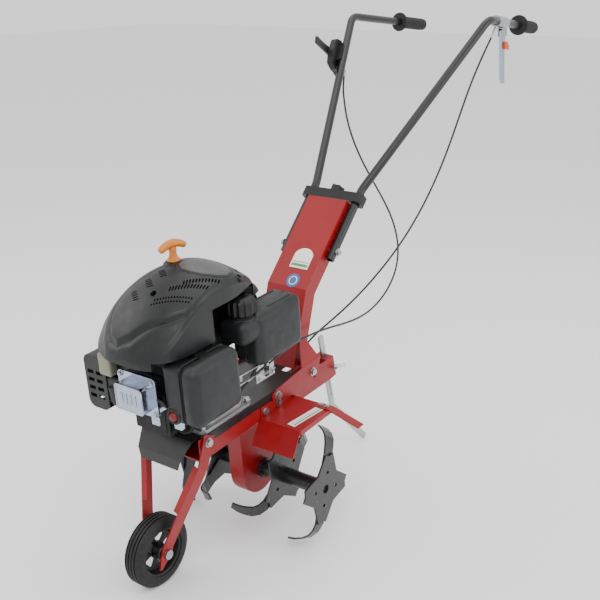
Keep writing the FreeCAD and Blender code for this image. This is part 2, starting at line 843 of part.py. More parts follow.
def tine_plate(name, x, turn):
    """A four-armed plate: notched arm ends where the blades bolt on, and narrow waists."""
    arm = dim("plate_arm_radius")
    waist = dim("plate_waist_radius")
    points = []
    for quarter in range(4):
        for radius, offset in ((arm, -10), (arm - 6, 0), (arm, 10), (waist, 45)):
            angle = math.radians(turn + 90 * quarter + offset)
            points.append((radius * math.cos(angle), radius * math.sin(angle)))
    angles = [math.radians(turn + 90 * k) for k in range(4)]
    holes = [circle(38 * math.cos(a), 38 * math.sin(a), 4.2) for a in angles]
    body = new_body(name)
    pad(body, "YZ", x, "dims.plate_thickness", closed_outline(points), *holes)
    return body


def make_tine_hub(side):
    """One rotor's tube with its inner and outer plates."""
    name = "tine_hub_left" if side > 0 else "tine_hub_right"
    start = dim("hub_start_x")
    end = dim("hub_end_x")
    thick = dim("plate_thickness")
    low = start if side > 0 else -end
    tube = cylinder("hub_tube", (low, 0, 0), (1, 0, 0), "dims.hub_radius", end - start)
    collar_x = start if side > 0 else -start - 10
    collar = cylinder("hub_collar", (collar_x, 0, 0), (1, 0, 0), "dims.hub_radius + 5", 10)
    inner_x = dim("inner_plate_x")
    plates = []
    for x, turn in ((inner_x, INNER_TURN), (end - thick, PLATE_TURN)):
        plates.append(tine_plate("hub_plate", x if side > 0 else -x - thick, turn))
    solid = fuse(name + "_solid", [tube, collar] + plates)
    bore = cylinder("hub_bore", (-end - 5, 0, 0), (1, 0, 0), "dims.axle_radius + 0.05", 2 * end + 10)
    keep(cut(name, solid, [bore]), name)


# A blade's centre line from its root: distance from the axle, shift inwards, sweep back, width share.
BLADE_LINE = (
    (22, 0, 0, 1.0),
    (58, 0, 0, 1.0),
    (82, 0, -2, 0.97),
    (99, -4, -5, 0.93),
    (112, -12, -9, 0.88),
    (120, -24, -13, 0.82),
    (125, -38, -16, 0.72),
    (127, -52, -19, 0.5),
)


def blade_point(station, x, turn):
    """A point of the blade's centre line."""
    radius, shift, sweep, _ = station
    angle = math.radians(turn + sweep)
    return V(x + shift, radius * math.cos(angle), radius * math.sin(angle))


def tine_blade(face_x, turn, side):
    """One tine: flat on its plate at the root, then curved back and in towards the middle."""
    half_thick = dim("plate_thickness") / 2
    x = face_x - 0.3 - half_thick
    line = [blade_point(station, x, turn) for station in BLADE_LINE]
    sections = []
    for index, station in enumerate(BLADE_LINE):
        before = line[max(index - 1, 0)]
        after = line[min(index + 1, len(line) - 1)]
        along = (after - before).normalize()
        angle = math.radians(turn + station[2])
        across = V(0, -math.sin(angle), math.cos(angle))
        across = (across - along * across.dot(along)).normalize()
        facing = along.cross(across)
        half_width = dim("blade_width") / 2 * station[3]
        corners = []
        for u, v in ((-1, -1), (1, -1), (1, 1), (-1, 1)):
            corner = line[index] + across * (u * half_width) + facing * (v * half_thick)
            corners.append(V(side * corner.x, corner.y, corner.z))
        sections.append(Part.makePolygon(corners + corners[:1]))
    feature = doc.addObject("Part::Feature", "tine_blade")
    feature.Shape = Part.makeLoft(sections, True, True)
    return feature


def make_tine_blades(side):
    """One rotor's four tines, two on each plate."""
    name = "tine_blades_left" if side > 0 else "tine_blades_right"
    outer_face = dim("hub_end_x") - dim("plate_thickness")
    blades = []
    for face, turn in ((dim("inner_plate_x"), INNER_TURN), (outer_face, PLATE_TURN)):
        for half_turn in (0, 180):
            blades.append(tine_blade(face, turn + half_turn, side))
    keep(group(name, blades), name)


def pulley_section(floor):
    """Half section of a belt pulley: radius against height above its lower face."""
    flange = dim("pulley_flange")
    gap = 0.6
    groove = dim("belt_height") + 2 * gap
    outer = floor + dim("belt_thickness") + 1.2
    height = 2 * flange + groove
    return outer, height, [
        (floor, flange),
        (outer, flange),
        (outer, 0),
    ], [
        (outer, height),
        (outer, height - flange),
        (floor, height - flange),
    ]


def make_pulley(label, floor, bore, y):
    """A flat-bottomed pulley on a vertical shaft."""
    outer, height, lower, upper = pulley_section(floor)
    outline = closed_outline([(bore, 0), (outer, 0), lower[1], lower[0], upper[2], upper[1], (outer, height), (bore, height)])
    body = turned(label, "XZ", "V_Axis", outline)
    low = dim("belt_bottom_z") - 0.6 - dim("pulley_flange")
    keep(body, label, V(0, y, low))


def belt_outline(extra):
    """The belt's loop round both pulleys, at a distance outside their groove floors."""
    small = dim("drive_floor_radius") + extra
    large = dim("driven_floor_radius") + extra
    front = dim("crank_y")
    rear = dim("worm_y")
    lean = math.asin((large - small) / (rear - front))
    cos, sin = math.cos(lean), math.sin(lean)
    return [
        Part.LineSegment(V(small * cos, front - small * sin, 0), V(large * cos, rear - large * sin, 0)),
        Part.Arc(
            V(large * cos, rear - large * sin, 0), V(0, rear + large, 0), V(-large * cos, rear - large * sin, 0)
        ),
        Part.LineSegment(V(-large * cos, rear - large * sin, 0), V(-small * cos, front - small * sin, 0)),
        Part.Arc(
            V(-small * cos, front - small * sin, 0), V(0, front - small, 0), V(small * cos, front - small * sin, 0)
        ),
    ]


def make_drive_belt():
    body = new_body("drive_belt")
    inner = 0.8
    pad(
        body,
        "XY",
        dim("belt_bottom_z"),
        "dims.belt_height",
        belt_outline(inner + dim("belt_thickness")),
        belt_outline(inner),
    )
    keep(body, "drive_belt")


IDLER_PIVOT = V(50, -110, 0)
IDLER_ARM = 55.0


def make_idler_arm():
    """The arm that presses the idler on the belt, with its two posts."""
    plate = new_body("idler_plate")
    ends = closed_outline([(-9, -9, 8), (9, -9, 8), (9, IDLER_ARM + 23, 8), (-9, IDLER_ARM + 23, 8)])
    pad(plate, "XY", 164, 3, ends, circle(0, 0, 4.06))
    post = cylinder("idler_post", (0, IDLER_ARM, 166), (0, 0, 1), 4.0, 24)
    hook = cylinder("idler_hook", (0, IDLER_ARM + 18.5, 166), (0, 0, 1), 2.5, 20)
    keep(fuse("idler_arm", [plate, post, hook]), "idler_arm", IDLER_PIVOT)


def make_idler_pulley():
    outline = closed_outline(
        [(4.06, 0), (14.5, 0), (14.5, 1.8), (12.5, 1.8), (12.5, 12.2), (14.5, 12.2), (14.5, 14), (4.06, 14)]
    )
    body = turned("idler_pulley", "XZ", "V_Axis", outline)
    keep(body, "idler_pulley", IDLER_PIVOT + V(0, IDLER_ARM, 171.5))


def make_idler_spring():
    """The idler's return spring, drawn as the closed form that its coils fill."""
    spring = cylinder("idler_spring", (0, 0, 0), (0, 0, 1), 3.2, 14.5)
    hook = IDLER_PIVOT + V(2.8, IDLER_ARM + 18.5, 178)
    keep(spring, "idler_spring", hook, Rotation(V(0, 0, 1), V(1, 0, 0)))


# ---------------------------------------------------------------- transport wheel


def fork_placement():
    return V(0, dim("front_bolt_y"), dim("bolt_z")), Rotation(V(1, 0, 0), -dim("fork_pitch"))


def make_wheel_fork():
    """Two leaning legs with stiffening lips, held together by the wheel's bolt."""
    length = dim("fork_length")
    top_x = dim("fork_top_x")
    low_x = dim("fork_bolt_x")
    half = dim("fork_width") / 2
    thick = dim("sheet_thick")
    pieces = []
    for side in (1, -1):
        line = [(top_x, 15), (top_x, -dim("fork_lean_start")), (low_x, 16 - length), (low_x, -length - 34)]
        line = [(side * (x + thick / 2), z) for x, z in line]
        leg = new_body("fork_leg")
        pad(leg, "XZ", -half, "dims.fork_width", strip(line, -side * thick))
        tail = -length - 36
        front_cut = closed_outline([(-half - 1, -length - 2), (-half + 4, tail), (-half - 1, tail)])
        rear_cut = closed_outline([(half + 1, -length + 4), (half + 1, tail), (-half + 8, tail)])
        pocket_through(leg, "YZ", front_cut)
        pocket_through(leg, "YZ", rear_cut)
        lip = new_body("fork_lip")
        share = (158 - dim("fork_lean_start")) / (length - 16 - dim("fork_lean_start"))
        lip_end = top_x + (low_x - top_x) * share
        lip_line = [line[1], (side * (lip_end + thick / 2), -158)]
        pad(lip, "XZ", -half, "dims.sheet_thick", strip(lip_line, -side * 15))
        pieces += [leg, lip]
    solid = fuse("fork_solid", pieces)
    reach = top_x + 10
    tools = [
        cylinder("fork_pivot_hole", (-reach, 0, 0), (1, 0, 0), "dims.bolt_radius + 0.06", 2 * reach),
        cylinder("fork_bolt_hole", (-40, 0, -length), (1, 0, 0), "dims.wheel_bolt_radius + 0.1", 80),
    ]
    at, turn = fork_placement()
    keep(cut("wheel_fork", solid, tools), "wheel_fork", at, turn)


def wheel_centre():
    at, turn = fork_placement()
    return at + turn.multVec(V(0, 0, -dim("fork_length")))


def make_wheel_bolt():
    """The wheel's axle bolt with its head and its nut."""
    shank = cylinder("wheel_bolt_shank", (-36, 0, 0), (1, 0, 0), "dims.wheel_bolt_radius", 72)
    head = cylinder("wheel_bolt_head", (31, 0, 0), (1, 0, 0), 10, 6)
    nut = cylinder("wheel_bolt_nut", (-37, 0, 0), (1, 0, 0), 10, 6)
    keep(fuse("wheel_bolt", [shank, head, nut]), "wheel_bolt", wheel_centre())


def make_wheel():
    """The moulded rim with its spokes, and the solid tyre on it."""
    rim_radius = dim("rim_radius")
    bore = dim("wheel_bolt_radius") + 0.06
    section = closed_outline(
        [
            (-23, bore),
            (23, bore),
            (23, 14),
            (20, 16),
            (3, 17),
            (3, rim_radius - 9),
            (17, rim_radius - 4),
            (19, rim_radius),
            (-19, rim_radius),
            (-17, rim_radius - 4),
            (-3, rim_radius - 9),
            (-3, 17),
            (-20, 16),
            (-23, 14),
        ]
    )
    rim = turned("wheel_rim", "XY", "H_Axis", section)
    windows = []
    for index in range(5):
        middle = 72 * index
        angles = [math.radians(middle + a) for a in (-24, 24)]
        inner, outer = 20, rim_radius - 12
        corners = [(outer * math.cos(angles[0]), outer * math.sin(angles[0]), 4)]
        corners += [(outer * math.cos(angles[1]), outer * math.sin(angles[1]), 4)]
        corners += [(inner * math.cos(angles[1]), inner * math.sin(angles[1]), 3)]
        corners += [(inner * math.cos(angles[0]), inner * math.sin(angles[0]), 3)]
        windows.append(closed_outline(corners))
    pocket_through(rim, "YZ", *windows)
    keep(rim, "wheel_rim", wheel_centre())

    outer = dim("wheel_radius")
    half = dim("wheel_half_width")
    seat = rim_radius + 0.1
    tread = [(-half, seat), (half, seat), (half, outer - 12, 6), (half - 5, outer - 2, 6)]
    for x in (12, 4):
        tread += [(x + 1.5, outer - 0.2), (x + 1.5, outer - 2.5), (x - 1.5, outer - 2.5), (x - 1.5, outer)]
    tread += [(-p[0],) + tuple(p[1:]) for p in tread[:1:-1]]
    keep(turned("wheel_tyre", "XY", "H_Axis", closed_outline(tread)), "wheel_tyre", wheel_centre())


# ---------------------------------------------------------------- handlebar and controls


def column_place(along, depth, x=0):
    """A point of the machine from its place along the column and behind its front face."""
    up, _, top, _ = column_lines()
    point = top + up * along + V(up.y, -up.x, 0) * depth
    return V(x, point.x, point.y)


def handle_pivot():
    return column_place(-dim("handle_pivot_along"), dim("handle_depth"))


COLUMN_TURN = Rotation(V(1, 0, 0), dim("column_slope") - 90)


def handle_points(side):
    """The handle tube's corner points, from its lower end to its grip end."""
    x = side * dim("handle_x")
    return [
        column_place(-146, dim("handle_depth"), x),
        column_place(44, dim("handle_depth"), x),
        V(side * dim("handle_bend_x"), dim("handle_bend_y"), dim("handle_bend_z")),
        V(side * dim("handle_end_x"), dim("handle_end_y"), dim("handle_end_z")),
    ]


def make_handle_tube(side):
    """A handle tube, drilled at its lower end for the pivot bolt."""
    name = "handle_tube_left" if side > 0 else "handle_tube_right"
    path = rounded_path(handle_points(side), [70, 42])
    outer = swept_rod(path, dim("tube_radius"))
    inner = swept_rod(path, dim("tube_radius") - dim("tube_wall"))
    pivot = handle_pivot()
    hole_start = V(side * dim("handle_x") - 20, pivot.y, pivot.z)
    hole = Part.makeCylinder(dim("bolt_radius") + 0.06, 40, hole_start, V(1, 0, 0))
    keep_shape(outer.cut(inner).cut(hole), name)


def grip_line(side):
    """The grip end of a handle tube and the direction towards it."""
    points = handle_points(side)
    heading = (points[3] - points[2]).normalize()
    return points[3], heading


def make_grip(side):
    """A closed rubber grip with a flange and rings."""
    name = "grip_left" if side > 0 else "grip_right"
    end, heading = grip_line(side)
    length = dim("grip_length")
    bore = dim("tube_radius") + 0.05
    outer = dim("grip_radius")
    points = [(0, length + 4), (0, length), (bore, length), (bore, 0), (dim("grip_flange_radius"), 0, 2)]
    points += [(dim("grip_flange_radius"), 5, 2), (outer, 7)]
    for index in range(9):
        base = 14 + 10.5 * index
        points += [(outer, base), (outer + 0.8, base + 2), (outer + 0.8, base + 5), (outer, base + 7)]
    points += [(outer, length - 2), (outer - 4, length + 4)]
    body = turned(name, "XZ", "V_Axis", closed_outline(points))
    start = end - heading * length
    keep(body, name, start, Rotation(V(0, 0, 1), heading))


def make_handle_clamp():
    """The moulded bridge that clamps both tubes over the column's end."""
    half = dim("handle_x") + 18
    depth = dim("handle_depth")
    body = new_body("handle_clamp")
    outline = rectangle(-half, depth - 16, half, depth + 16, 10)
    tubes = [circle(side * dim("handle_x"), depth, dim("tube_radius") + 0.05) for side in (1, -1)]
    pad(body, "XY", 3.5, 24, outline, *tubes, circle(0, depth, 4.06))
    keep(body, "handle_clamp", column_place(0, 0), COLUMN_TURN)


def make_clamp_knob():
    """The lobed knob on the clamp, with its stud."""
    points = []
    for index in range(24):
        angle = 2 * math.pi * index / 24
        radius = 17 if index % 4 < 2 else 14
        points.append((radius * math.cos(angle), radius * math.sin(angle), 1.5))
    head = new_body("knob_head")
    pad(head, "XY", 28, 14, closed_outline(points))
    stud = cylinder("knob_stud", (0, 0, 8), (0, 0, 1), 4.0, 24)
    at = column_place(0, dim("handle_depth"))
    keep(fuse("clamp_knob", [head, stud]), "clamp_knob", at, COLUMN_TURN)


def handle_point(side, y):
    """A point of the handle's grip run at a distance rearwards."""
    bend, end = handle_points(side)[2:]
    share = (y - bend.y) / (end.y - bend.y)
    return bend + (end - bend) * share


CLUTCH_Y = 862.0
CLUTCH_DROP = 25.0


def clutch_pivot():
    return handle_point(1, CLUTCH_Y) - V(0, 0, CLUTCH_DROP)


def make_clutch_bracket():
    """The collar on the left handle with two ears for the lever's pin and a cable stop."""
    centre = handle_point(1, CLUTCH_Y)
    _, heading = grip_line(1)
    collar = cylinder("clutch_collar", tuple(centre - heading * 48), tuple(heading), "dims.tube_radius + 4", 64)
    ears = [box("clutch_ear", (centre.x + x, centre.y - 11, clutch_pivot().z - 9), (3, 22, CLUTCH_DROP + 2))
            for x in (-8, 5)]
    stop = cylinder("clutch_stop", tuple(CLUTCH_EXIT), tuple(CLUTCH_AIM * -1), 4.5, 26)
    solid = fuse("clutch_solid", [collar, stop] + ears)
    pin = clutch_pivot()
    tools = [
        cylinder("clutch_bore", tuple(centre - heading * 80), tuple(heading), "dims.tube_radius + 0.05", 140),
        cylinder("clutch_pin_hole", (pin.x - 20, pin.y, pin.z), (1, 0, 0), 3.0, 40),
    ]
    keep(cut("clutch_bracket", solid, tools), "clutch_bracket")


def make_clutch_lever():
    """The clutch lever, hanging from its pin between the ears."""
    length = dim("clutch_lever_length")
    outline = closed_outline(
        [(-9, 9, 8), (-9, -20), (-6, -length + 20), (2, -length, 4), (10, -length + 2, 4), (8, -60), (9, 9, 8)]
    )
    blade = new_body("lever_blade")
    pad(blade, "YZ", -4, 8, outline, circle(4, -30, 2.05))
    pin = cylinder("lever_pin", (-9, 0, 0), (1, 0, 0), 2.94, 18)
    keep(fuse("clutch_lever", [blade, pin]), "clutch_lever", clutch_pivot())


def catch_pivot():
    return clutch_pivot() + V(4.3, 4, -30)


def make_clutch_catch():
    """The small safety catch beside the top of the clutch lever."""
    outline = closed_outline([(-6, 7, 5), (-6, -9, 4), (14, -15, 3), (16, -7, 3), (7, 7, 5)])
    tab = new_body("catch_tab")
    pad(tab, "YZ", 0, 6, outline)
    pin = cylinder("catch_pin", (-8, 0, 0), (1, 0, 0), 2.0, 9)
    keep(fuse("clutch_catch", [tab, pin]), "clutch_catch", catch_pivot())


def throttle_frame():
    """Origin and turn of the throttle: z along the tube, x out from the machine."""
    lower, upper = handle_points(-1)[1:3]
    heading = (upper - lower).normalize()
    origin = lower + (upper - lower) * 0.75
    outward = V(-1, 0, 0)
    outward = (outward - heading * outward.dot(heading)).normalize()
    side = heading.cross(outward)
    matrix = FreeCAD.Matrix(
        outward.x, side.x, heading.x, 0,
        outward.y, side.y, heading.y, 0,
        outward.z, side.z, heading.z, 0,
        0, 0, 0, 1,
    )
    return origin, Rotation(matrix)


def make_throttle_housing():
    """The flat moulded throttle case on the outside of the right handle tube."""
    body = new_body("throttle_case")
    outline = closed_outline(
        [(-33, -46, 6), (-8, -44), (6, -47), (30, -44, 6), (38, -8, 14), (32, 32, 10), (8, 44, 6), (-34, 40, 8)]
    )
    pad(body, "YZ", 12, 15, outline)
    saddle = box("throttle_saddle", (-2, -13, -22), (16, 26, 44))
    solid = fuse("throttle_solid", [body, saddle])
    tools = [
        cylinder("throttle_bore", (0, 0, -60), (0, 0, 1), "dims.tube_radius + 0.05", 120),
        cylinder("throttle_pin_hole", (10, 0, 2), (1, 0, 0), 4.06, 30),
    ]
    origin, turn = throttle_frame()
    keep(cut("throttle_housing", solid, tools), "throttle_housing", origin, turn)


def make_throttle_lever():
    """The throttle lever on its pin, pointing up and forwards across the tube."""
    arm = new_body("throttle_arm")
    outline = closed_outline(
        [(-9, -10, 8), (8, -12, 7), (66, -27, 3), (96, -35, 4), (100, -16, 4), (70, -9, 3), (12, 10, 8), (-9, 10, 8)]
    )
    pad(arm, "YZ", 27.4, 5, outline)
    pin = cylinder("throttle_pin", (18, 0, 0), (1, 0, 0), 4.0, 12)
    origin, turn = throttle_frame()
    keep(fuse("throttle_lever", [arm, pin]), "throttle_lever", origin + turn.multVec(V(0, 0, 2)), turn)


CLUTCH_EXIT = V(190, 808, 858)
CLUTCH_AIM = V(-0.13, -0.62, -0.78)

CLUTCH_ROUTE = [
    (190, 808, 858),
    (183, 780, 822),
    (174, 748, 775),
    (165, 718, 722),
    (156, 690, 664),
    (146, 662, 604),
    (135, 630, 545),
    (123, 592, 488),
    (109, 546, 432),
    (94, 494, 382),
    (78, 434, 338),
    (62, 368, 300),
    (48, 298, 272),
    (38, 232, 254),
    (36, 186, 243),
    (41, 150, 232),
    (45, 122, 219),
    (49, 100, 206),
    (54, 78, 196),
    (56, 50, 192),
    (56.5, 14, 191),
]

THROTTLE_ROUTE = [
    (-150, 653, 773),
    (-143, 632, 742),
    (-130, 616, 704),
    (-114, 602, 662),
    (-97, 598, 616),
    (-80, 606, 566),
    (-64, 624, 514),
    (-48, 646, 462),
    (-32, 664, 410),
    (-16, 668, 360),
    (0, 654, 314),
    (16, 616, 276),
    (30, 560, 250),
    (42, 496, 236),
    (52, 430, 232),
    (60, 362, 238),
    (66, 294, 252),
    (72, 226, 270),
    (77, 164, 284),
    (82, 106, 293),
    (87, 50, 297),
    (91, -4, 296),
    (93, -54, 291),
    (92, -100, 285),
]


# ---------------------------------------------------------------- engine


def make_crankcase():
    """The aluminium crankcase on its base flange, with the finned cylinder in front."""
    crank = dim("crank_y")
    flange = new_body("crankcase_flange")
    pad(flange, "XY", 212.2, 8, rectangle(-74, crank - 80, 74, crank + 80, 14))
    sump = new_body("crankcase_sump")
    pad(sump, "XY", 220, 84, rectangle(-68, crank - 66, 68, crank + 66, 26))
    barrel = box("cylinder_barrel", (-30, -270, 244), (60, 60, 66))
    fins = [box("cylinder_fin", (-42, y, 236), (84, 3, 82)) for y in range(-268, -222, 9)]
    tower = cylinder("crankcase_tower", (0, crank, 300), (0, 0, 1), 30, 20)
    solid = fuse("crankcase_solid", [flange, sump, barrel, tower] + fins)
    tools = [cylinder("crank_bore", (0, crank, 200), (0, 0, 1), "dims.crank_radius + 0.06", 130)]
    tools += [cylinder("engine_hole", (x, y, 205), (0, 0, 1), "dims.bolt_hole_radius", 16) for x, y in ENGINE_BOLTS]
    tools += [cylinder("engine_bolt_room", (x, y, 220), (0, 0, 1), 8.5, 90) for x, y in ENGINE_BOLTS]
    keep(cut("crankcase", solid, tools), "crankcase")


def make_cylinder_head():
    """The finned head bolted on the cylinder's front."""
    block = box("head_block", (-38, -294, 240), (76, 23.7, 74))
    fins = [box("head_fin", (-46, y, 234), (92, 3, 86)) for y in (-293, -285, -277)]
    keep(fuse("cylinder_head", [block] + fins), "cylinder_head")


def make_muffler():
    """The silver exhaust box with its rim plate and its raised front."""
    body = box("muffler_body", (-42, -318, 298), (88, 23.5, 66))
    rim = new_body("muffler_rim")
    pad(rim, "XZ", -322, 4, rectangle(-48, 290, 52, 374, 8))
    raised = new_body("muffler_front")
    pad(raised, "XZ", -346, 25, rectangle(-36, 302, 38, 358, 9))
    keep(fuse("muffler", [body, rim, raised]), "muffler")


def make_side_cover():
    """The louvred cover at the engine's front right."""
    body = new_body("side_cover_shell")
    pad(body, "XZ", -306, 88, rectangle(-165, 254, -105, 374, 18))
    pocket = box("side_cover_room", (-161.5, -302.5, 258), (60, 90, 112))
    slots = []
    for row in range(4):
        for column in range(2):
            corner = (-157 + 24 * column, -310, 278 + 18 * row)
            slots.append(box("side_cover_slot", corner, (17, 10, 8)))
    keep(cut("side_cover", body, [pocket] + slots), "side_cover")


def housing_profile(radius, height, base, low):
    """Half section of the blower housing's dome down to its skirt."""
    power = 1.75
    points = []
    steps = 14
    for index in range(steps + 1):
        share = math.sin(math.pi / 2 * index / steps)
        level = (1 - share**power) ** (1 / power)
        points.append(V(radius * share, 0, base + height * level))
    curve = Part.BSplineCurve()
    curve.interpolate(points)
    edge = curve.toShape()
    rim = points[-1]
    corners = [rim, V(rim.x, 0, low), V(0, 0, low), points[0]]
    sides = [Part.LineSegment(a, b).toShape() for a, b in zip(corners, corners[1:])]
    return Part.Face(Part.Wire([edge] + sides))


def housing_solid(shrink):
    """The dome trimmed to its plan, shrunk all round by the wall for its inside."""
    radius = dim("housing_radius") - shrink
    height = dim("housing_height") - shrink
    low = dim("housing_base_z") - 14 - (5 if shrink else 0)
    face = housing_profile(radius, height, dim("housing_base_z"), low)
    dome = face.revolve(V(0, 0, 0), V(0, 0, 1), 360)
    dome.translate(V(dim("housing_x"), dim("housing_y"), 0))
    outline = [
        (-172 + shrink, -345 + shrink, 60),
        (96 - shrink, -345 + shrink, 84),
        (96 - shrink, -160 - shrink, 14),
        (38 - shrink, -160 - shrink, 14),
        (38 - shrink, 30 - shrink, 40),
        (-172 + shrink, 30 - shrink, 90),
    ]
    wire = Part.Wire([s.toShape() for s in closed_outline(outline)])
    plan = Part.Face(wire).extrude(V(0, 0, 400))
    plan.translate(V(0, 0, 300))
    return dome.common(plan)


def make_blower_housing():
    """The engine's moulded top cover, hollow, cut away over the air filter."""
    wall = dim("housing_wall")
    shell = housing_solid(0).cut(housing_solid(wall))
    filter_room = Part.makeBox(86, 184, 120, V(64, -360, 296))
    rope_hole = Part.makeCylinder(9, 60, V(dim("starter_x"), dim("starter_y"), 510))
    post = Part.makeCylinder(7, 140, V(0, dim("crank_y"), 422))
    post = post.common(housing_solid(0))
    front_room = Part.makeBox(250, 154, 60, V(-184, -366, 340))
    neck_room = Part.makeBox(100, 42, 120, V(38, -200, 340))
    solid = shell.fuse(post)
    for tool in (filter_room, rope_hole, front_room, neck_room):
        solid = solid.cut(tool)
    keep_shape(solid, "blower_housing")


def make_fuel_tank():
    """The moulded fuel tank with its filler neck, hollow."""
    main = new_body("tank_main")
    pad(main, "YZ", 42, 78, rectangle(-89, 313, 58, 426, 16))
    neck = new_body("tank_neck")
    cap_x, cap_y = dim("fuel_cap_x"), dim("fuel_cap_y")
    pad(neck, "XY", 372, 52, rectangle(cap_x - 36, cap_y - 36, cap_x + 36, cap_y + 36, 22))
    spout = cylinder("tank_spout", (cap_x, cap_y, 420), (0, 0, 1), 22, 22)
    solid = fuse("tank_solid", [main, neck, spout])
    room = box("tank_room", (46, -84, 317), (70, 138, 104))
    mouth = cylinder("tank_mouth", (cap_x, cap_y, 378), (0, 0, 1), 18, 80)
    keep(cut("fuel_tank", solid, [room, mouth]), "fuel_tank")


def make_fuel_cap():
    """The knurled fuel cap over the spout."""
    radius = dim("fuel_cap_radius")
    points = []
    lobes = 12
    for index in range(2 * lobes):
        angle = math.pi * index / lobes
        reach = radius if index % 2 else radius - 3
        points.append((reach * math.cos(angle), reach * math.sin(angle), 2))
    grip = new_body("cap_grip")
    pad(grip, "XY", 426.5, 40.5, closed_outline(points))
    dome = cylinder("cap_top", (0, 0, 466), (0, 0, 1), 24, 5)
    solid = fuse("cap_solid", [grip, dome])
    room = cylinder("cap_room", (0, 0, 424), (0, 0, 1), 22.4, 20)
    keep(cut("fuel_cap", solid, [room]), "fuel_cap", V(dim("fuel_cap_x"), dim("fuel_cap_y"), 0))


def make_air_filter_box():
    """The air filter's box, open towards the engine."""
    body = new_body("filter_shell")
    pad(body, "YZ", 70, 75, rectangle(-313, 286, -183, 409, 14))
    room = box("filter_room", (66, -309, 290), (75, 122, 115))
    bulb_seat = cylinder("bulb_seat", (BULB.x, -330, BULB.z), (0, 1, 0), 11, 40)
    keep(cut("air_filter_box", body, [room, bulb_seat]), "air_filter_box")


BULB = V(84, -313, 301)


def make_air_filter_element():
    """The pleated filter block."""
    rows = 12
    pitch = 96 / rows
    outline = [(-296, 322)]
    for index in range(rows):
        y = -296 + pitch * index
        outline += [(y + pitch * 0.5, 326), (y + pitch, 322)]
    outline += [(-200, 396)]
    outline += [(-296, 396)]
    body = new_body("air_filter_element")
    pad(body, "YZ", 100, 36, closed_outline(outline))
    keep(body, "air_filter_element")


def make_primer_bulb():
    """The soft primer bulb in the filter box's front."""
    outline = closed_outline([(0, 0), (10.5, 0), (10.5, 4, 1), (8, 9, 5), (0, 12)])
    body = turned("primer_bulb", "XZ", "V_Axis", outline)
    keep(body, "primer_bulb", BULB + V(0, 4, 0), Rotation(V(0, 0, 1), V(0, -1, 0)))


OIL_CAP = V(60, -262, 246)
OIL_AIM = V(0.25, -0.75, 0.6)


def make_oil_cap():
    """The oil filler cap with its dipstick stub."""
    aim = V(OIL_AIM).normalize()
    head = cylinder("oil_head", tuple(OIL_CAP), tuple(aim), 15, 9)
    grip = cylinder("oil_grip", tuple(OIL_CAP + aim * 9), tuple(aim), 10, 6)
    keep(fuse("oil_cap", [head, grip]), "oil_cap")


def make_carburettor():
    """The carburettor beside the crankcase, with its float bowl."""
    body = box("carb_body", (74, -176, 296), (24, 50, 14))
    throat = cylinder("carb_throat", (69, -152, 282), (1, 0, 0), 13, 34)
    bowl = cylinder("carb_bowl", (86, -152, 252), (0, 0, 1), 14, 24)
    keep(fuse("carburettor", [body, throat, bowl]), "carburettor")


def make_spark_plug_cap():
    """The rubber boot on the plug, slanting out of the head."""
    base = cylinder("boot_base", (-50, -286, 296), (-1, -0.25, 0), 11, 29)
    elbow = cylinder("boot_elbow", (-80, -296, 279), (-0.2, -0.05, 1), 16, 38)
    keep(fuse("spark_plug_cap", [base, elbow]), "spark_plug_cap")


def make_crankshaft():
    crank = cylinder("crankshaft", (0, 0, 0), (0, 0, 1), "dims.crank_radius", 232)
    keep(crank, "crankshaft", V(0, dim("crank_y"), 165))


def make_flywheel():
    """The flywheel with its fan blades."""
    bore = dim("crank_radius") + 0.02
    disc = turned("flywheel_disc", "XZ", "V_Axis", closed_outline([(bore, 0), (74, 0), (74, 14), (60, 17), (bore, 19)]))
    blades = []
    for index in range(12):
        blade = box("flywheel_blade", (40, -1.5, 12), (32, 3, 7.5))
        blade.Placement = Placement(V(), Rotation(V(0, 0, 1), 30 * index)).multiply(blade.Placement)
        blades.append(blade)
    keep(fuse("flywheel", [disc] + blades), "flywheel", V(0, dim("crank_y"), 326))


def make_starter_reel():
    outline = closed_outline([(7.06, 0), (34, 0), (34, 3), (26, 5), (26, 13), (34, 15), (34, 18), (7.06, 18)])
    body = turned("starter_reel", "XZ", "V_Axis", outline)
    keep(body, "starter_reel", V(0, dim("crank_y"), 424))


def make_starter_handle():
    """The pull handle with the stretch of rope that runs down into the housing."""
    foot = turned("handle_foot", "XZ", "V_Axis", closed_outline([(0, 8), (8, 8), (13, 14), (9, 24), (8, 40), (0, 40)]))
    bar = new_body("handle_bar")
    pad(bar, "XZ", -8, 16, closed_outline([(-30, 30, 6), (-8, 34), (8, 34), (30, 30, 6), (33, 42, 6), (10, 52, 8), (-10, 52, 8), (-33, 42, 6)]))
    bar.Placement = Placement(V(), Rotation(V(0, 0, 1), 52))
    rope = cylinder("starter_rope", (0, 0, -94), (0, 0, 1), 2.2, 104)
    keep(fuse("starter_handle", [foot, bar, rope]), "starter_handle", V(dim("starter_x"), dim("starter_y"), 541))


# ---------------------------------------------------------------- build, check and write


